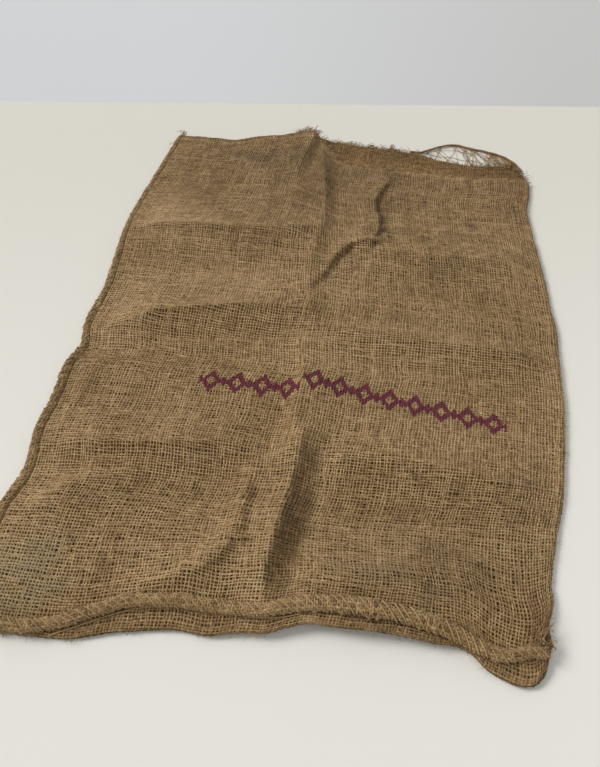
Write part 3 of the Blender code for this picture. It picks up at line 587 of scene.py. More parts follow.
def weave(upper, cloth, material):
    """Warp and weft of one layer, each a piece of its own, crossing over and under one another."""
    rng = np.random.default_rng(cloth.seed + (0 if upper else 50))
    warps, wefts = round(WIDTH / cloth.warp_pitch), round(LENGTH / cloth.weft_pitch)
    across, along = (
        np.concatenate([[0], (np.arange(count) + 0.5 + rng.uniform(-spread, spread, count)) / count, [1]])
        for count, spread in zip((warps, wefts), PLACE_SPREAD))
    shape = (warps + 2, wefts + 2)
    (fine, slow, single), (fine_weft, slow_weft, single_weft) = PLACE_DRIFT
    at_u = across[:, None] + drift(rng, *shape, 60, 26) * fine / warps
    at_u = at_u + drift(rng, *shape, 10, 9) * slow / warps
    at_v = along[None, :] + drift(rng, *shape, 22, 74) * fine_weft / wefts
    at_v = at_v + drift(rng, *shape, 8, 12) * slow_weft / wefts
    at_u += drift(rng, *shape, warps + 1, 80) * single / warps
    at_v += drift(rng, *shape, 64, wefts + 1) * single_weft / wefts
    at_u[[0, -1]] = [[0.0], [1.0]]
    at_v[:, [0, -1]] = [0.0, 1.0]
    points = cloth_points(np.clip(at_u, 0, 1), np.clip(at_v, 0, 1), upper)
    ahead, over = unit(np.gradient(points, axis=1)), unit(np.gradient(points, axis=0))
    normal = unit(np.cross(over, ahead))
    rough = drift(rng, *shape, 50, 60) * ROUGHNESS[0] + drift(rng, *shape, 88, 110) * ROUGHNESS[1]
    points = points + normal * rough[..., None]
    parity = (-1.0) ** np.add.outer(np.arange(shape[0]), np.arange(shape[1]))
    lift = parity * cloth.yarn_lift
    prefix = "upper" if upper else "lower"
    if upper:
        closed, lee = slopes(normal, at_u, at_v)
    else:
        closed, lee = np.ones(shape), MOUTH_DARKENING[0] * fall((1 - at_v) / MOUTH_DARKENING[1])

    rows = slice(1, warps + 1)
    width = (cloth.warp_width if upper else cloth.warp_pitch) * (
        1 + WIDTH_DRIFT * drift(rng, warps, shape[1], warps - 1, 110))
    width *= rng.uniform(1 - WIDTH_SPREAD[0], 1 + WIDTH_SPREAD[0], warps)[:, None] * closed[rows]
    three = (np.arange(warps)[:, None] + 0.5 + UV_REACH * np.array([-1, 0, 1])) / warps
    flat_uv = np.stack(np.broadcast_arrays(three[:, None], at_v[rows, :, None]), axis=-1)
    tint = rng.uniform(*TINT_RANGE, warps)[:, None] + TINT_DRIFT * drift(rng, warps, shape[1], warps - 1, 150)
    # The tint takes the painted shade and painted light of the slopes, and darkens at the hem, corner and
    # lower mouth
    tint -= lee[rows]
    warp = ribbons(
        prefix + "_warp", points[rows], normal[rows], over[rows], lift[rows], width, flat_uv, tint, material)

    columns = slice(1, wefts + 1)
    turned = [grid[:, columns].swapaxes(0, 1) for grid in (points, normal, ahead, lift)]
    width = (cloth.weft_width if upper else cloth.weft_pitch) * (
        1 + WIDTH_DRIFT * drift(rng, wefts, shape[0], wefts - 1, 90))
    width *= rng.uniform(1 - WIDTH_SPREAD[1], 1 + WIDTH_SPREAD[1], wefts)[:, None] * closed[:, columns].T
    three = (np.arange(wefts)[:, None] + 0.5 - UV_REACH * np.array([-1, 0, 1])) / wefts
    flat_uv = np.stack(np.broadcast_arrays(at_u[:, columns].T[..., None], three[:, None]), axis=-1)
    tint = rng.uniform(*TINT_RANGE, wefts)[:, None] + TINT_DRIFT * drift(rng, wefts, shape[0], wefts - 1, 110)
    # As for the warps: painted shade and painted light of the slopes, and the darker hem, corner and lower
    # mouth
    tint -= lee[:, columns].T
    weft = ribbons(
        prefix + "_weft", turned[0], turned[1], -turned[2], -turned[3], width, flat_uv, tint, material)
    return warp, weft


def slopes(normal, at_u, at_v):
    """How far the yarns close up by the cloth's slope; painted shade in the lee of its folds and on steep
    sides, painted light where it faces the bottom, and the darker hem and corner.
    """
    right, far = normal[..., 0], normal[..., 1]
    closed = SLACK[0] - SLACK[1] * np.clip((TURNING[0] - far) / TURNING[1], 0, 1)
    lee = np.clip((right - LEEWARD[0]) / LEEWARD[1], 0, 1) * LEE_PAINTED_SHADE[0]
    steep = np.clip((np.hypot(right, far) - STEEP[0]) / STEEP[1], 0, 1) * LEE_PAINTED_SHADE[1]
    inland = np.clip(np.minimum(at_u, 1 - at_u) * WIDTH / SHADE_EDGE_MARGIN - 1, 0, 1)
    painted_light = NEAR_PAINTED_LIGHT * np.clip((-BOTTOMWARD[0] - far) / BOTTOMWARD[1], 0, 1)
    # Painted shade on leeward and steep sides, less painted light where the cloth faces the bottom
    painted_light_and_tone = np.maximum(lee, steep) * inland - painted_light
    hem = fall(at_v * LENGTH / HEM_DENSE_DARK[0])
    corner = fall(np.hypot((1 - at_u) * WIDTH / CORNER_DENSE_DARK[0][0], at_v * LENGTH / CORNER_DENSE_DARK[0][1]))
    closed = closed + HEM_DENSE_DARK[1] * hem + CORNER_DENSE_DARK[1] * corner
    closed += np.maximum(painted_light_and_tone, 0) + SELVEDGE[1] * fall((1 - at_v) * LENGTH / SELVEDGE[0])
    return closed, painted_light_and_tone + HEM_DENSE_DARK[2] * hem + CORNER_DENSE_DARK[2] * corner


def walk(line, step):
    """Points along a line, a step apart, and the level way ahead at each."""
    line = np.array(line)
    length = np.concatenate([[0], np.cumsum(np.linalg.norm(np.diff(line, axis=0), axis=1))])
    wanted = np.linspace(0, length[-1], max(2, round(length[-1] / step) + 1))
    points = np.stack([np.interp(wanted, length, column) for column in line.T], axis=-1)
    ahead = np.gradient(points, axis=0)
    ahead[:, 2] = 0
    return points, unit(ahead), wanted


def seam_frame(line, seam, swell, step, seed):
    """Places along a seam, the way ahead and to the left, its scale and the turn of its twine there."""
    points, ahead, run = walk(line, step)
    aside = np.stack([-ahead[:, 1], ahead[:, 0], np.zeros(len(ahead))], axis=-1)
    stitches = max(2, round(run[-1] / seam[2]))
    uneven = drift(np.random.default_rng(seed), 1, 20 * stitches, 1, stitches)[0]
    turn = 2 * math.pi * run / seam[2] + 0.8 * np.interp(run, np.linspace(0, run[-1], 20 * stitches), uneven)
    return points, ahead, aside, run, np.interp(run / run[-1], *zip(*swell)), turn


def overcast(name, line, seam, swell, twine, seed, material):
    """Twine wound round a seam's ridge: each stitch slants over the top and goes back underneath."""
    points, ahead, aside, run, scale, turn = seam_frame(line, seam, swell, seam[2] / SEAM_TURN_POINTS, seed)
    rng = np.random.default_rng(seed + 1)
    loose = scale * (1 + 0.05 * drift(rng, 1, len(run), 1, round(run[-1] / seam[2]))[0])
    across = seam[0] * np.cos(turn) * loose
    path = points + aside * across[:, None] - ahead * (STITCH_SLANT * across)[:, None]
    path[:, 2] += seam[1] * np.sin(turn) * loose
    path[:, 2] = np.maximum(path[:, 2], twine * 1.1)
    return tubes(name, path[None], twine, 7, material, up=ahead, plies=(2, 0.22, 0.0065), tint=0.72)


def rolled_hem(name, line, seam, swell, hem, material):
    """The rolled edge of the cloth in a seam's ridge, its yarns drawn in by the stitches.

    hem is (yarns round the roll, how deep the stitches bite, shade, seed).
    """
    yarns, bite, shade, seed = hem
    points, _ahead, aside, run, scale, turn = seam_frame(line, seam, swell, HEM_PITCH, seed)
    rng = np.random.default_rng(seed + 2)
    shape = (yarns, len(run))
    angle = np.linspace(-HEM_WRAP, math.pi + HEM_WRAP, yarns)[:, None]
    angle = angle + 0.10 * drift(rng, *shape, yarns - 1, round(run[-1] / 0.012))
    stitch = np.interp(run + STITCH_SLANT * seam[0] * scale * np.cos(angle), run, turn)
    reach = SEAM_FILL * scale * (1 - bite * np.cos(stitch - angle))
    rough, fine, slow = HEM_ROUGH
    fine = rough * drift(rng, *shape, 4, round(run[-1] / fine))
    reach *= 1 + fine + rough * drift(rng, *shape, 1, round(run[-1] / slow))
    grid = points + aside * (seam[0] * reach * np.cos(angle))[..., None]
    grid[..., 2] = np.maximum(grid[..., 2] + seam[1] * reach * np.sin(angle), HEM_FLOOR)
    ahead, over = unit(np.gradient(grid, axis=1)), unit(np.gradient(grid, axis=0))
    normal = unit(np.cross(over, ahead))
    lift = HEM_LIFT * (-1.0) ** np.add.outer(np.arange(yarns), np.arange(len(run)))
    crossing = [grid.swapaxes(0, 1) for grid in (grid, normal, -ahead)]
    pieces = []
    for way, placed, rise in (("along", (grid, normal, over), lift), ("round", crossing, -lift.T)):
        rows, length = rise.shape
        width = HEM_PITCH * HEM_COVER * (
            1 + WIDTH_SPREAD[1] * drift(rng, rows, length, rows - 1, max(2, length // 3)))
        tint = shade + rng.uniform(-HEM_SHADES[0], HEM_SHADES[0], rows)[:, None]
        tint = tint + HEM_SHADES[1] * drift(rng, rows, length, rows - 1, max(2, length // 4))
        share = (np.arange(rows)[:, None, None] + np.array([0.1, 0.5, 0.9])) / rows
        flat_uv = np.stack(np.broadcast_arrays(share, np.linspace(0, 1, length)[None, :, None]), axis=-1)
        pieces.append(ribbons(f"{name}_{way}", *placed, rise, width, flat_uv, tint, material))
    inner = SEAM_FILL * HEM_FILLING * seam[0] * scale
    pieces.append(tubes(name + "_fill", points[None], inner, 8, material, flat=seam[1] / seam[0], tint=0.10))
    return pieces


def stray(rng, roots, heading, length, curl, lift, points=6):
    """Paths of loose fibres that leave their roots at a heading and wander as they go."""
    count = len(roots)
    step = np.asarray(length)[:, None] / (points - 1)
    bend = rng.normal(0, curl, (count, 1)) + rng.normal(0, curl * 0.5, (count, points - 1))
    angle = np.asarray(heading)[:, None] + np.cumsum(bend, axis=1) - bend[:, :1]
    rise = np.asarray(lift)[:, None] * np.cos(np.linspace(0, rng.uniform(1.4, 2.9, count), points - 1).T)
    moves = np.stack([np.cos(angle) * step, np.sin(angle) * step, rise * step], axis=-1)
    paths = np.concatenate([roots[:, None], roots[:, None] + np.cumsum(moves, axis=1)], axis=1)
    paths[..., 2] = np.maximum(paths[..., 2], 0.0004)
    return paths


def add_node(tree, kind, settings=(), links=()):
    """Adds a shader node, sets its values by name or socket and joins its inputs to other sockets."""
    node = tree.nodes.new(kind)
    for key, value in dict(settings).items():
        if isinstance(key, str) and hasattr(node, key):
            setattr(node, key, value)
        else:
            node.inputs[key].default_value = value
    for key, socket in dict(links).items():
        tree.links.new(socket, node.inputs[key])
    return node


def new_material(name, roughness):
    """A material with an empty Principled shader, its tree and its shader."""
    material = bpy.data.materials.new(name)
    material.use_nodes = True
    shader = material.node_tree.nodes["Principled BSDF"]
    shader.inputs["Roughness"].default_value = roughness
    shader.inputs["IOR"].default_value = 1.5
    shader.inputs["Metallic"].default_value = 0.0
    return material, material.node_tree, shader


def jute_fibres(tree):
    """Noise drawn out along the yarns: fibres about 0.2 mm apart and a few millimetres long."""
    along = add_node(tree, "ShaderNodeAttribute", {"attribute_name": "along"})
    around = add_node(tree, "ShaderNodeAttribute", {"attribute_name": "around"})
    tint = add_node(tree, "ShaderNodeAttribute", {"attribute_name": "tint"})
    place = add_node(
        tree, "ShaderNodeCombineXYZ", {},
        {"X": around.outputs["Fac"], "Y": along.outputs["Fac"], "Z": tint.outputs["Fac"]})
    drawn = add_node(tree, "ShaderNodeMapping", {"Scale": FIBRE_SCALE}, {"Vector": place.outputs[0]})
    noise = add_node(tree, "ShaderNodeTexNoise", {"Scale": 1.0, "Detail": 2.0}, {"Vector": drawn.outputs[0]})
    return tint.outputs["Fac"], noise.outputs["Fac"]


def patches(tree, place, scale, detail):
    """Noise of this scale on the object, from 0 to 1."""
    noise = add_node(
        tree, "ShaderNodeTexNoise", {"Scale": scale, "Detail": detail}, {"Vector": place.outputs["Object"]})
    return noise.outputs["Fac"]


def jute_colour(tree, shader, colours):
    """Colour and relief of raw jute: straw and brown yarns, mottled along their length, with fine fibres,
    lighter on their crests as painted highlight and darker at their eaves as painted shade.
    """
    place = add_node(tree, "ShaderNodeTexCoord")
    tint, fibres = jute_fibres(tree)
    mottle, cloudy = patches(tree, place, MOTTLE_SCALE, 3.0), patches(tree, place, CLOUD_SCALE, 4.0)
    crest = add_node(tree, "ShaderNodeAttribute", {"attribute_name": "crest"})
    shade = tint
    for share, noise in zip(SHADE_SHARES, (mottle, cloudy, fibres, crest.outputs["Fac"])):
        centred = add_node(
            tree, "ShaderNodeMath", {"operation": "MULTIPLY_ADD", 1: share, 2: -share / 2}, {0: noise})
        added = add_node(tree, "ShaderNodeMath", {"operation": "ADD"}, {0: shade, 1: centred.outputs[0]})
        shade = added.outputs[0]
    ramp = add_node(tree, "ShaderNodeValToRGB", {}, {"Fac": shade})
    ramp.color_ramp.elements[0].color = (*colours[0], 1)
    ramp.color_ramp.elements[1].color = (*colours[2], 1)
    ramp.color_ramp.elements.new(0.5).color = (*colours[1], 1)
    bump = add_node(tree, "ShaderNodeBump", {"Strength": 0.5, "Distance": 0.0003}, {"Height": fibres})
    tree.links.new(bump.outputs["Normal"], shader.inputs["Normal"])
    return place, ramp.outputs["Color"]


def spot(tree, place, noise, centre, size, most):
    """Up to most in the middle of a soft ragged patch on the cloth, 0 outside it."""
    moved = add_node(
        tree, "ShaderNodeVectorMath", {"operation": "SUBTRACT", 1: (*centre, 0)},
        {0: place.outputs["Object"]})
    scaled = add_node(
        tree, "ShaderNodeVectorMath", {"operation": "MULTIPLY", 1: (1 / size[0], 1 / size[1], 0)},
        {0: moved.outputs[0]})
    distance = add_node(tree, "ShaderNodeVectorMath", {"operation": "LENGTH"}, {0: scaled.outputs[0]})
    ragged = add_node(
        tree, "ShaderNodeMath", {"operation": "MULTIPLY_ADD", 1: 1.6},
        {0: noise, 2: distance.outputs["Value"]})
    return add_node(
        tree, "ShaderNodeMapRange", {"From Min": 1.75, "From Max": 0.75, "To Min": 0.0, "To Max": most},
        {"Value": ragged.outputs[0]})


def blend_colour(tree, factor, base, colour, way="MIX"):
    """The base colour, turned toward another by a factor, or multiplied by it where the way is MULTIPLY."""
    mix = add_node(tree, "ShaderNodeMix", {"data_type": "RGBA", "blend_type": way})
    tree.links.new(factor, mix.inputs["Factor"])
    tree.links.new(base, mix.inputs["A"])
    mix.inputs["B"].default_value = (*colour, 1)
    return mix.outputs["Result"]


def ornament_mask(tree):
    """A stencilled row of open lozenges, a small lozenge between each two, strongest on the yarns' crests."""
    def maths(operation, first, second=None, third=None):
        inputs = [first, second, third]
        fixed = {i: x for i, x in enumerate(inputs) if isinstance(x, (int, float))}
        linked = {i: x for i, x in enumerate(inputs) if x is not None and i not in fixed}
        return add_node(tree, "ShaderNodeMath", {"operation": operation, **fixed}, linked).outputs[0]

    uv = add_node(tree, "ShaderNodeUVMap", {"uv_map": "OFBake"})
    xy = add_node(tree, "ShaderNodeSeparateXYZ", {}, {"Vector": uv.outputs["UV"]})
    x = maths("MULTIPLY", xy.outputs["X"], WIDTH)
    beyond = maths("GREATER_THAN", x, ORNAMENT_STEP)
    slanting = maths("MULTIPLY_ADD", x, ORNAMENT_RIGHT[1], ORNAMENT_RIGHT[0] - ORNAMENT_LEFT)
    middle = maths("MULTIPLY_ADD", slanting, beyond, ORNAMENT_LEFT)
    y = maths("ABSOLUTE", maths("SUBTRACT", maths("MULTIPLY", xy.outputs["Y"], LENGTH), middle))
    step = maths("SUBTRACT", x, ORNAMENT_FROM)
    wide = maths("ABSOLUTE", maths("SUBTRACT", maths("WRAP", step, ORNAMENT_PITCH, 0.0), ORNAMENT_PITCH / 2))
    narrow = maths("SUBTRACT", ORNAMENT_PITCH / 2, wide)

    def lozenge(across, half):
        return maths("ADD", maths("DIVIDE", across, half[0]), maths("DIVIDE", y, half[1]))

    ring = maths("ABSOLUTE", maths("SUBTRACT", lozenge(wide, ORNAMENT_LOZENGE), 1 - ORNAMENT_LINE / 2))
    outline = maths("LESS_THAN", ring, ORNAMENT_LINE / 2)
    shape = maths("MAXIMUM", outline, maths("LESS_THAN", lozenge(narrow, ORNAMENT_DOT), 1.0))
    inside = maths("MULTIPLY", maths("GREATER_THAN", x, ORNAMENT_FROM), maths("LESS_THAN", x, ORNAMENT_TO))
    crest = add_node(tree, "ShaderNodeAttribute", {"attribute_name": "crest"})
    worn = add_node(
        tree, "ShaderNodeTexNoise", {"Scale": MOTTLE_SCALE, "Detail": 3.0}, {"Vector": uv.outputs["UV"]})
    wear, raised, least, most = ORNAMENT_INK
    ink = maths("MULTIPLY_ADD", crest.outputs["Fac"], raised, least)
    ink = maths("MULTIPLY_ADD", worn.outputs["Fac"], wear, ink)
    return maths("MULTIPLY", maths("MULTIPLY", shape, inside), maths("MINIMUM", ink, most))


def hessian_material(name, colours, printed, painted_light_and_tone):
    """Raw jute yarn, spun coarse and woven plain: dry, dull and hairy, with no gloss."""
    material, tree, shader = new_material(name, 0.86)
    shader.inputs["Sheen Weight"].default_value = 0.10
    shader.inputs["Sheen Roughness"].default_value = 0.6
    shader.inputs["Specular IOR Level"].default_value = 0.25
    yarns = [to_linear(code) for code in (colours.dark_yarn, colours.yarn, colours.pale_yarn)]
    # The yarn colours are darkened here: painted shade for the lower layer, a plain tone for the edges
    place, colour = jute_colour(tree, shader, [tuple(np.multiply(yarn, painted_light_and_tone)) for yarn in yarns])
    if printed:
        ragged = patches(tree, place, RAGGED_SCALE, 4.0)
        for centre, size, most, stain in STAINS:
            patch = spot(tree, place, ragged, centre, size, most)
            way = "MULTIPLY" if stain == "darker_patch" else "MIX"
            colour = blend_colour(tree, patch.outputs[0], colour, to_linear(getattr(colours, stain)), way)
        colour = blend_colour(tree, ornament_mask(tree), colour, to_linear(colours.ink))
    tree.links.new(colour, shader.inputs["Base Color"])
    return material


def twine_material(name, colours):
    """Two-ply jute twine, twisted hard: the same dry fibre as the cloth, a little paler where it rubs."""
    material, tree, shader = new_material(name, 0.82)
    shader.inputs["Sheen Weight"].default_value = 0.12
    shader.inputs["Sheen Roughness"].default_value = 0.6
    shader.inputs["Specular IOR Level"].default_value = 0.3
    yarns = [to_linear(code) for code in (colours.dark_yarn, colours.yarn, colours.twine)]
    _place, colour = jute_colour(tree, shader, yarns)
    tree.links.new(colour, shader.inputs["Base Color"])
    return material


def paint_material(name, colours, ramp, glow):
    """Matt emulsion paint: one colour that turns into another over ramp, (axis, from, to) on the board, as
    painted light falling off; glow makes it shine as painted light.
    """
    material, tree, shader = new_material(name, 0.85)
    axis, start, stop = ramp
    place = add_node(tree, "ShaderNodeTexCoord")
    part = add_node(tree, "ShaderNodeSeparateXYZ", {}, {"Vector": place.outputs["Object"]})
    share = add_node(
        tree, "ShaderNodeMapRange", {"interpolation_type": "SMOOTHSTEP", "From Min": start, "From Max": stop},
        {"Value": part.outputs[axis]})
    near = add_node(tree, "ShaderNodeRGB")
    near.outputs[0].default_value = (*to_linear(colours[0]), 1)
    paint = blend_colour(tree, share.outputs[0], near.outputs[0], to_linear(colours[1]))
    for key in ("Base Color", "Emission Color"):
        tree.links.new(paint, shader.inputs[key])
    shader.inputs["Emission Strength"].default_value = glow
    return material


def get_material(key, make, *details):
    """The material of this name, made on its first use."""
    return bpy.data.materials.get(key) or make(key, *details)


class SackClothSettings(bpy.types.PropertyGroup):
    """Sizes of the weave and the twine, and how the yarns vary"""

    warp_pitch: bpy.props.FloatProperty(
        name="Warp pitch", description="Distance from one lengthways yarn to the next", default=0.0034,
        unit="LENGTH")
    weft_pitch: bpy.props.FloatProperty(
        name="Weft pitch", description="Distance from one crossways yarn to the next", default=0.00345,
        unit="LENGTH")
    warp_width: bpy.props.FloatProperty(
        name="Warp width", description="Width of a lengthways yarn", default=0.0018, unit="LENGTH")
    weft_width: bpy.props.FloatProperty(
        name="Weft width", description="Width of a crossways yarn", default=0.0018, unit="LENGTH")
    yarn_lift: bpy.props.FloatProperty(
        name="Yarn lift", description="How far a yarn rises and dips at each crossing", default=0.00042,
        unit="LENGTH")
    twine: bpy.props.FloatProperty(
        name="Twine radius", description="Radius of the seam twine", default=0.00085, unit="LENGTH")
    fibres: bpy.props.IntProperty(
        name="Loose fibres", description="Number of stray fibres on the cloth", default=4000)
    seed: bpy.props.IntProperty(name="Seed", description="Picks the unevenness of the yarns", default=7)


class SackColourSettings(bpy.types.PropertyGroup):
    """Colours of the jute, the ink and the stains"""

    dark_yarn: bpy.props.StringProperty(
        name="Dark yarn", description="sRGB hex of the brownest yarns", default="#664F31")
    yarn: bpy.props.StringProperty(
        name="Yarn", description="sRGB hex of most of the yarns", default="#987B53")
    pale_yarn: bpy.props.StringProperty(
        name="Pale yarn", description="sRGB hex of the palest yarns", default="#BEA279")
    twine: bpy.props.StringProperty(
        name="Twine", description="sRGB hex of the palest twine", default="#AF946A")
    ink: bpy.props.StringProperty(
        name="Ink", description="sRGB hex of the stencilled row", default="#641735")
    grey_stain: bpy.props.StringProperty(
        name="Grey stain", description="sRGB hex of the mouth's stain", default="#5E5548")
    darker_patch: bpy.props.StringProperty(
        name="Darker patch", description="sRGB hex that darkens broad patches of cloth", default="#CCC9C4")
    rust_stain: bpy.props.StringProperty(
        name="Rust stain", description="sRGB hex of the edge's stain", default="#7A4A28")
    damp_stain: bpy.props.StringProperty(
        name="Damp stain", description="sRGB hex of the corner's tinge", default="#958A6E")


class SackStageSettings(bpy.types.PropertyGroup):
    """The camera, and the colours of the room"""

    eye: bpy.props.FloatVectorProperty(
        name="Camera place", description="Where the camera stands", default=(0.0649, -0.5960, 0.69),
        unit="LENGTH")
    pitch: bpy.props.FloatProperty(
        name="Pitch", description="How far the camera looks down", default=math.radians(53.546),
        unit="ROTATION")
    heading: bpy.props.FloatProperty(
        name="Heading", description="How far the camera is turned to the left", default=math.radians(8.498),
        unit="ROTATION")
    lens: bpy.props.FloatProperty(
        name="Lens", description="Focal length on a 36 mm long side", default=31.917, unit="CAMERA")
    # Near and far table, and the wall's left and right: painted light and shade falling off across plain
    # boards
    table: bpy.props.StringProperty(
        name="Table", description="sRGB hex of the near table", default="#EAE9E4")
    far_table: bpy.props.StringProperty(
        name="Far table", description="sRGB hex at the wall", default="#DAD8D1")
    wall: bpy.props.StringProperty(
        name="Wall", description="sRGB hex of the wall's left", default="#E8E9EB")
    right_wall: bpy.props.StringProperty(
        name="Right wall", description="sRGB hex of the wall's right", default="#D8D8D7")


class SACK_OT_stage(bpy.types.Operator):
    """Makes the table, the wall behind it, the soft light and the camera"""

    bl_idname = "sack.stage"
    bl_label = "Stage"

    def execute(self, context):
        stage = context.scene.sack_stage
        for (name, size, place, turn, ramp, glow), colours in (
            (TABLE_TOP, (stage.table, stage.far_table)), (BACK_WALL, (stage.wall, stage.right_wall)),
        ):
            material = paint_material(name + "_paint", colours, ramp, glow)
            mesh = bpy.data.meshes.new(name)
            x, y = size[0] / 2, size[1] / 2
            mesh.from_pydata([(-x, -y, 0), (x, -y, 0), (x, y, 0), (-x, y, 0)], [], [(0, 1, 2, 3)])
            mesh.materials.append(material)
            board = bpy.data.objects.new(name, mesh)
            board.location = place
            board.rotation_euler = turn
            board.visible_shadow = name == "table_top"
            context.scene.collection.objects.link(board)
        world = bpy.data.worlds.new("soft_room")
        world.use_nodes = True
        world.node_tree.nodes["Background"].inputs["Color"].default_value = ROOM_COLOUR
        world.node_tree.nodes["Background"].inputs["Strength"].default_value = ROOM_STRENGTH
        context.scene.world = world
        for name, height, bearing, strength, spread, tone in LAMPS:
            lamp = bpy.data.lights.new(name, "SUN")
            lamp.energy, lamp.color, lamp.angle = strength, tone, math.radians(spread)
            light = bpy.data.objects.new(name, lamp)
            light.rotation_euler = (math.radians(90 - height), 0, math.radians(bearing + 90))
            context.scene.collection.objects.link(light)
        eye = bpy.data.objects.new("camera", bpy.data.cameras.new("camera"))
        eye.data.lens = stage.lens
        eye.data.sensor_width = 36.0
        eye.location = stage.eye
        eye.rotation_euler = (math.pi / 2 - stage.pitch, 0, stage.heading)
        context.scene.collection.objects.link(eye)
        context.scene.camera = eye
        context.scene.view_settings.view_transform = "Standard"
        return {"FINISHED"}


class SACK_OT_cloth(bpy.types.Operator):
    """Weaves the upper and the lower layer of the sack"""

    bl_idname = "sack.cloth"
    bl_label = "Cloth"

    def execute(self, context):
        cloth, colours = context.scene.sack_cloth, context.scene.sack_colours
        printed = get_material("raw_jute_hessian_printed", hessian_material, colours, True, (1.0, 1.0, 1.0))
        # The lower layer's darker, warmer colours are painted shade under the upper layer
        plain = get_material("painted_shade_jute_hessian", hessian_material, colours, False, LOWER_TONE)
        warp, weft = weave(True, cloth, printed)
        under_warp, under_weft = weave(False, cloth, plain)
        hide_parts("sack")
        return {"FINISHED"}


class SACK_OT_seams(bpy.types.Operator):
    """Winds the overcast twine down the left side and along the bottom"""

    bl_idname = "sack.seams"
    bl_label = "Overcast seams"

    def execute(self, context):
        cloth, colours = context.scene.sack_cloth, context.scene.sack_colours
        twine = get_material("twisted_jute_twine", twine_material, colours)
        jute = get_material("raw_jute_hessian", hessian_material, colours, False, EDGE_TONE)
        along = np.linspace(0.002, 1, 400)
        rim = cloth_points(np.zeros(400), along, True)
        ahead = unit(np.gradient(rim, axis=0))
        outward = np.stack([-ahead[:, 1], ahead[:, 0], np.zeros(400)], axis=-1)
        thick = np.interp(along, *zip(*SIDE_SWELL))[:, None]
        side = rim + outward * (SIDE_SEAM[0] * SEAM_SEAT[0]) * thick
        side[:, 2] = SIDE_SEAM[1] * thick[:, 0] + cloth.twine
        pieces = [overcast("side_seam_stitches", side, SIDE_SEAM, SIDE_SWELL, cloth.twine, 3, twine)]
        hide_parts("side_seam")
        hems = rolled_hem("side_hem", side, SIDE_SEAM, SIDE_SWELL, SIDE_HEM, jute)
        swell = np.interp(np.linspace(0, 1, 300), *zip(*BOTTOM_SWELL))
        bottom = self.on_cloth(BOTTOM_SEAM_PATH, 300, BOTTOM_SEAM[1] * SEAM_SEAT[1] * swell)
        pieces.append(
            overcast("bottom_seam_stitches", bottom, BOTTOM_SEAM, BOTTOM_SWELL, cloth.twine, 5, twine))
        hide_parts("bottom_seam")
        hems.extend(rolled_hem("bottom_hem", bottom, BOTTOM_SEAM, BOTTOM_SWELL, BOTTOM_HEM, jute))
        fold = self.on_cloth(FOLD_YARN_PATH, 160, 0.0004)
        pieces.append(
            tubes("bottom_fold_yarn", fold[None], FOLD_YARN, 6, twine, plies=(2, 0.2, 0.005), tint=0.8))
        return {"FINISHED"}

    @staticmethod
    def on_cloth(path, count, above):
        """Points of a path seen from above, lifted onto the upper layer."""
        place = smooth_path(path, np.linspace(0, 1, count))
        x, y = place[:, 0], place[:, 1]
        share = (x - LEFT_EDGE[0][0]) / (RIGHT_EDGE[0][0] - LEFT_EDGE[0][0])
        front = np.interp(x, [p[0] for p in FRONT_EDGE], [p[1] for p in FRONT_EDGE])
        _floor, _middle, top = heights(x, y, np.clip(share, 0, 1), np.clip((y - front) / LENGTH, 0, 1))
        return np.column_stack([x - MIDDLE[0], y - MIDDLE[1], top + above])


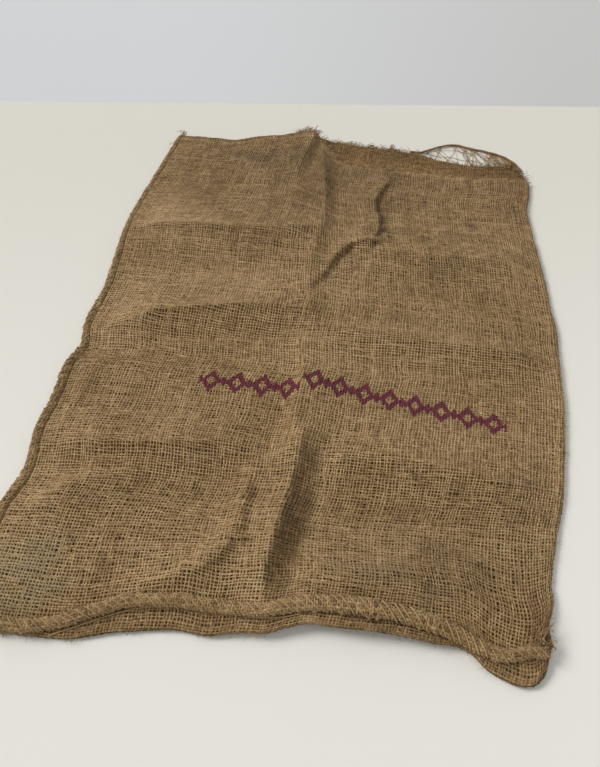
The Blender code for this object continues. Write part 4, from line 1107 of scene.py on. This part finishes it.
class SACK_OT_mouth(bpy.types.Operator):
    """Frays the mouth: edge yarns, broken ends, the loose selvedge and the threads under it"""

    bl_idname = "sack.mouth"
    bl_label = "Frayed mouth"

    def execute(self, context):
        cloth, colours = context.scene.sack_cloth, context.scene.sack_colours
        jute = get_material("raw_jute_hessian", hessian_material, colours, False, EDGE_TONE)
        rng = np.random.default_rng(cloth.seed + 11)
        pieces = [self.edge_yarns(rng, jute)]
        pieces.append(self.ends("mouth_ends", rng, False, LOWER_ENDS, jute))
        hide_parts("mouth_fringe")
        pieces.append(self.ends("mouth_tuft_ends", rng, True, UPPER_ENDS, jute))
        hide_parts("mouth_tuft")
        pieces.extend(self.loose_selvedge(rng, jute))
        return {"FINISHED"}

    @staticmethod
    def edge_yarns(rng, material):
        """Thick yarns that bind the two mouth edges."""
        rows = []
        for upper, start, stop, back, _radius in EDGE_YARNS:
            across = np.linspace(start, stop, 120)
            row = cloth_points(across, np.full(120, 1 - back / LENGTH), upper)
            row[:, 2] += 0.0006
            row[:, 1] += 0.0006 * drift(rng, 1, 120, 1, 14)[0]
            rows.append(row)
        radius = np.array([yarn[-1] for yarn in EDGE_YARNS])[:, None]
        return tubes("mouth_edge_yarns", rows, radius, 6, material, plies=(2, 0.15, 0.006), tint=0.3)

    @staticmethod
    def ends(name, rng, upper, runs, material):
        """Broken yarn ends and loops along a mouth edge: (from, to, how many, longest) for each run."""
        roots, heading, length = [], [], []
        for start, stop, count, longest in runs:
            across = rng.uniform(start, stop, count)
            root = cloth_points(across, np.full(count, 1 - 0.002 / LENGTH), upper)
            beyond = cloth_points(np.clip(across + 0.004, 0, 1), np.full(count, 1 - 0.002 / LENGTH), upper)
            way = beyond - root
            root[:, 2] += rng.uniform(0, 0.0012, count)
            roots.append(root)
            heading.append(np.arctan2(way[:, 1], way[:, 0]) + math.pi / 2 + rng.normal(0, 0.5, count))
            length.append(longest * rng.uniform(0.25, 1.0, count) ** 1.3)
        roots, heading, length = np.concatenate(roots), np.concatenate(heading), np.concatenate(length)
        paths = stray(rng, roots, heading, length, 0.38, rng.uniform(-0.1, 0.6, len(roots)), 7)
        radius = rng.uniform(0.00022, 0.00075, (len(roots), 1)) * np.linspace(1, 0.55, 7)
        return tubes(name, paths, radius, 3, material)

    @staticmethod
    def loose_selvedge(rng, material):
        """The arched edge strand of three yarns, and the threads that still cross to it."""
        middle = smooth_path(LOOSE_SELVEDGE, np.linspace(0, 1, 90)) - np.array([*MIDDLE, 0])
        ahead = unit(np.gradient(middle, axis=0))
        aside = np.stack([-ahead[:, 1], ahead[:, 0], np.zeros(90)], axis=-1)
        rows = []
        for strand in range(3):
            angle = 2 * math.pi * strand / 3 + np.linspace(0, 22, 90)
            row = middle + aside * (0.0010 * np.cos(angle))[:, None]
            row[:, 2] += 0.0008 * np.sin(angle)
            rows.append(row)
        strand = tubes("selvedge_strand", rows, 0.00095, 6, material, tint=0.3)
        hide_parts("loose_selvedge")
        count, points = GAP_THREADS, 9
        share = 0.70 + 0.265 * rng.uniform(0, 1, count) ** 0.45
        root = cloth_points(share, np.full(count, 1.0), False)
        toward = np.clip((share - 0.66) / 0.32 + rng.normal(0, 0.13, count), 0.1, 0.97)
        tip = middle[(toward * 89).astype(int)]
        t = np.linspace(0, 1, points)[None, :, None]
        paths = root[:, None] * (1 - t) + tip[:, None] * t
        bow = rng.normal(0, 0.0055, (count, 1, 1)) * np.sin(t * math.pi)
        paths[..., 0:1] += bow + rng.normal(0, 0.0009, (count, points, 1))
        paths[..., 2] = np.maximum(paths[..., 2] * 0.5, 0.0006)
        threads = tubes("gap_threads", paths, rng.uniform(0.0002, 0.00045, (count, 1)), 4, material)
        hanging = []
        for height, offset in GAP_WEFTS:
            across = np.linspace(0.69, 0.955, 60)
            edge = cloth_points(across, np.ones(60), False)
            far = middle[np.linspace(16, 82, 60).astype(int)]
            row = edge * (1 - offset) + far * offset
            row[:, 1] += 0.0030 * drift(rng, 1, 60, 1, 8)[0]
            row[:, 2] = height
            hanging.append(row)
        return [strand, threads, tubes("gap_wefts", hanging, 0.0004, 4, material)]


class SACK_OT_fibres(bpy.types.Operator):
    """Scatters stray fibres over the cloth and along its edges"""

    bl_idname = "sack.fibres"
    bl_label = "Loose fibres"

    def execute(self, context):
        cloth, colours = context.scene.sack_cloth, context.scene.sack_colours
        jute = get_material("raw_jute_hessian", hessian_material, colours, False, EDGE_TONE)
        rng = np.random.default_rng(cloth.seed + 23)
        on_cloth = self.over_cloth(rng, cloth.fibres)
        pieces = [self.at_mouth(rng, jute)]
        radius = rng.uniform(0.00006, 0.00015, (cloth.fibres, 1))
        pieces.append(tubes("loose_fibres", on_cloth, radius, 3, jute))
        for make in (self.on_seam, self.along_edges, self.at_corners, self.knots):
            pieces.append(make(rng, jute))
        return {"FINISHED"}

    @staticmethod
    def over_cloth(rng, count):
        """Paths of fibres that lie or stand all over the upper layer."""
        roots = cloth_points(rng.uniform(0.01, 0.99, count), rng.uniform(0.01, 0.995, count), True)
        roots[:, 2] += 0.0009
        lift = rng.uniform(-0.05, 0.55, count)
        way = rng.uniform(0, 2 * math.pi, count)
        return stray(rng, roots, way, rng.uniform(0.003, 0.010, count), 0.4, lift, 5)

    @staticmethod
    def at_mouth(rng, material):
        """Tufts on the part of the lower layer that shows beyond the upper mouth edge."""
        count = MOUTH_FIBRES
        roots = cloth_points(rng.uniform(0.40, 0.985, count), rng.uniform(0.925, 1.0, count), False)
        roots[:, 2] = np.maximum(roots[:, 2], 0.0035)
        way = rng.normal(math.pi / 2, 1.1, count)
        length = rng.uniform(0.003, 0.010, count)
        paths = stray(rng, roots, way, length, 0.5, rng.uniform(0.0, 0.7, count), 6)
        radius = rng.uniform(0.00012, 0.00034, (count, 1))
        return tubes("mouth_fuzz", paths, radius, 3, material, tint=rng.uniform(0.35, 0.95, count))

    @staticmethod
    def on_seam(rng, material):
        """Short hairs on the bottom seam."""
        count = SEAM_FIBRES
        path = SACK_OT_seams.on_cloth(BOTTOM_SEAM_PATH, 200, 0.0)
        roots = path[rng.integers(0, 200, count)]
        roots = roots + rng.normal(0, 1, (count, 3)) * np.array([0.003, 0.004, 0.0])
        roots[:, 2] += BOTTOM_SEAM[1] * rng.uniform(1.2, 2.2, count)
        way = rng.uniform(0, 2 * math.pi, count)
        length = rng.uniform(0.003, 0.009, count)
        paths = stray(rng, roots, way, length, 0.5, rng.uniform(-0.4, 0.4, count), 5)
        radius = rng.uniform(0.00010, 0.00026, (count, 1))
        return tubes("seam_fuzz", paths, radius, 3, material, tint=rng.uniform(0.3, 0.9, count))

    @staticmethod
    def along_edges(rng, material):
        """Fibres that stand out from the left, right and bottom edges."""
        count = EDGE_FIBRES
        left, right = EDGE_SHARES
        side = rng.uniform(0, 1, count)
        across = np.where(side < left, 0.0, np.where(side < right, 1.0, rng.uniform(0, 1, count)))
        along = np.where(side < right, rng.uniform(0, 1, count), 0.0)
        roots = cloth_points(across, along, True)
        out = np.where(side < left, math.pi, np.where(side < right, 0.0, -math.pi / 2))
        way = out + rng.normal(0, 0.8, count)
        length = rng.uniform(0.002, 0.009, count)
        paths = stray(rng, roots, way, length, 0.4, rng.uniform(-0.3, 0.6, count))
        return tubes("edge_fibres", paths, rng.uniform(0.00006, 0.00014, (count, 1)), 3, material)

    @staticmethod
    def at_corners(rng, material):
        """Bundles of thicker ends where the seams and the mouth fray."""
        frays = []
        for x, y, z, heading, count, longest, curl in FRAYS:
            roots = np.array([x, y, z]) + rng.normal(0, 1, (count, 3)) * np.array([0.0035, 0.0035, 0.0008])
            way = heading + curl * rng.normal(0, 1.0, count)
            length, lift = longest * rng.uniform(0.3, 1, count), curl * rng.uniform(-0.2, 0.7, count)
            frays.append(stray(rng, roots, way, length, curl, lift, 8))
        frays = np.concatenate(frays)
        radius = rng.uniform(0.00020, 0.00055, (len(frays), 1)) * np.linspace(1, 0.6, 8)
        return tubes("corner_frays", frays, radius, 4, material, tint=rng.uniform(0.3, 0.8, len(frays)))

    @staticmethod
    def knots(rng, material):
        """Clusters of loops of yarn, each most of a turn."""
        loops = []
        turn = np.linspace(0, 1.8 * math.pi, 18)[:, None]
        for x, y, z, reach, count in KNOTS:
            for _loop in range(count):
                across, along = unit(rng.normal(0, 1, (2, 3)))
                size = reach * rng.uniform(0.5, 1.0, 2)
                centre = np.array([x, y, z]) + rng.normal(0, reach * 0.45, 3) * np.array([1, 1, 0.4])
                loops.append(centre + size[0] * np.cos(turn) * across + size[1] * np.sin(turn) * along)
        loops = np.array(loops)
        loops[..., 2] = np.maximum(loops[..., 2], 0.0007)
        return tubes("yarn_knots", loops, 0.00060, 5, material, tint=rng.uniform(0.3, 0.9, len(loops)))


class SACK_PT_panel(bpy.types.Panel):
    """Lists the sack's pieces and settings"""

    bl_idname = "SACK_PT_panel"
    bl_label = "Jute sack"
    bl_space_type = "VIEW_3D"
    bl_region_type = "UI"
    bl_category = "Sack"

    def draw(self, context):
        for operator in OPERATORS:
            self.layout.operator(operator.bl_idname)
        for group in (context.scene.sack_cloth, context.scene.sack_colours, context.scene.sack_stage):
            box = self.layout.box()
            for key in group.bl_rna.properties.keys():
                if key not in ("rna_type", "name"):
                    box.prop(group, key)


OPERATORS = (SACK_OT_stage, SACK_OT_cloth, SACK_OT_seams, SACK_OT_mouth, SACK_OT_fibres)
SETTINGS = {
    "sack_cloth": SackClothSettings, "sack_colours": SackColourSettings, "sack_stage": SackStageSettings,
}


def register():
    for made in (*SETTINGS.values(), *OPERATORS, SACK_PT_panel):
        bpy.utils.register_class(made)
    for key, group in SETTINGS.items():
        setattr(bpy.types.Scene, key, bpy.props.PointerProperty(type=group))


def unregister():
    for key in SETTINGS:
        delattr(bpy.types.Scene, key)
    for made in (SACK_PT_panel, *reversed(OPERATORS), *reversed(SETTINGS.values())):
        bpy.utils.unregister_class(made)


def main():
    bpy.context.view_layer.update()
    register()
    bpy.ops.sack.stage()
    bpy.ops.sack.cloth()
    bpy.ops.sack.seams()
    bpy.ops.sack.mouth()
    bpy.ops.sack.fibres()


if __name__ == "__main__":
    main()
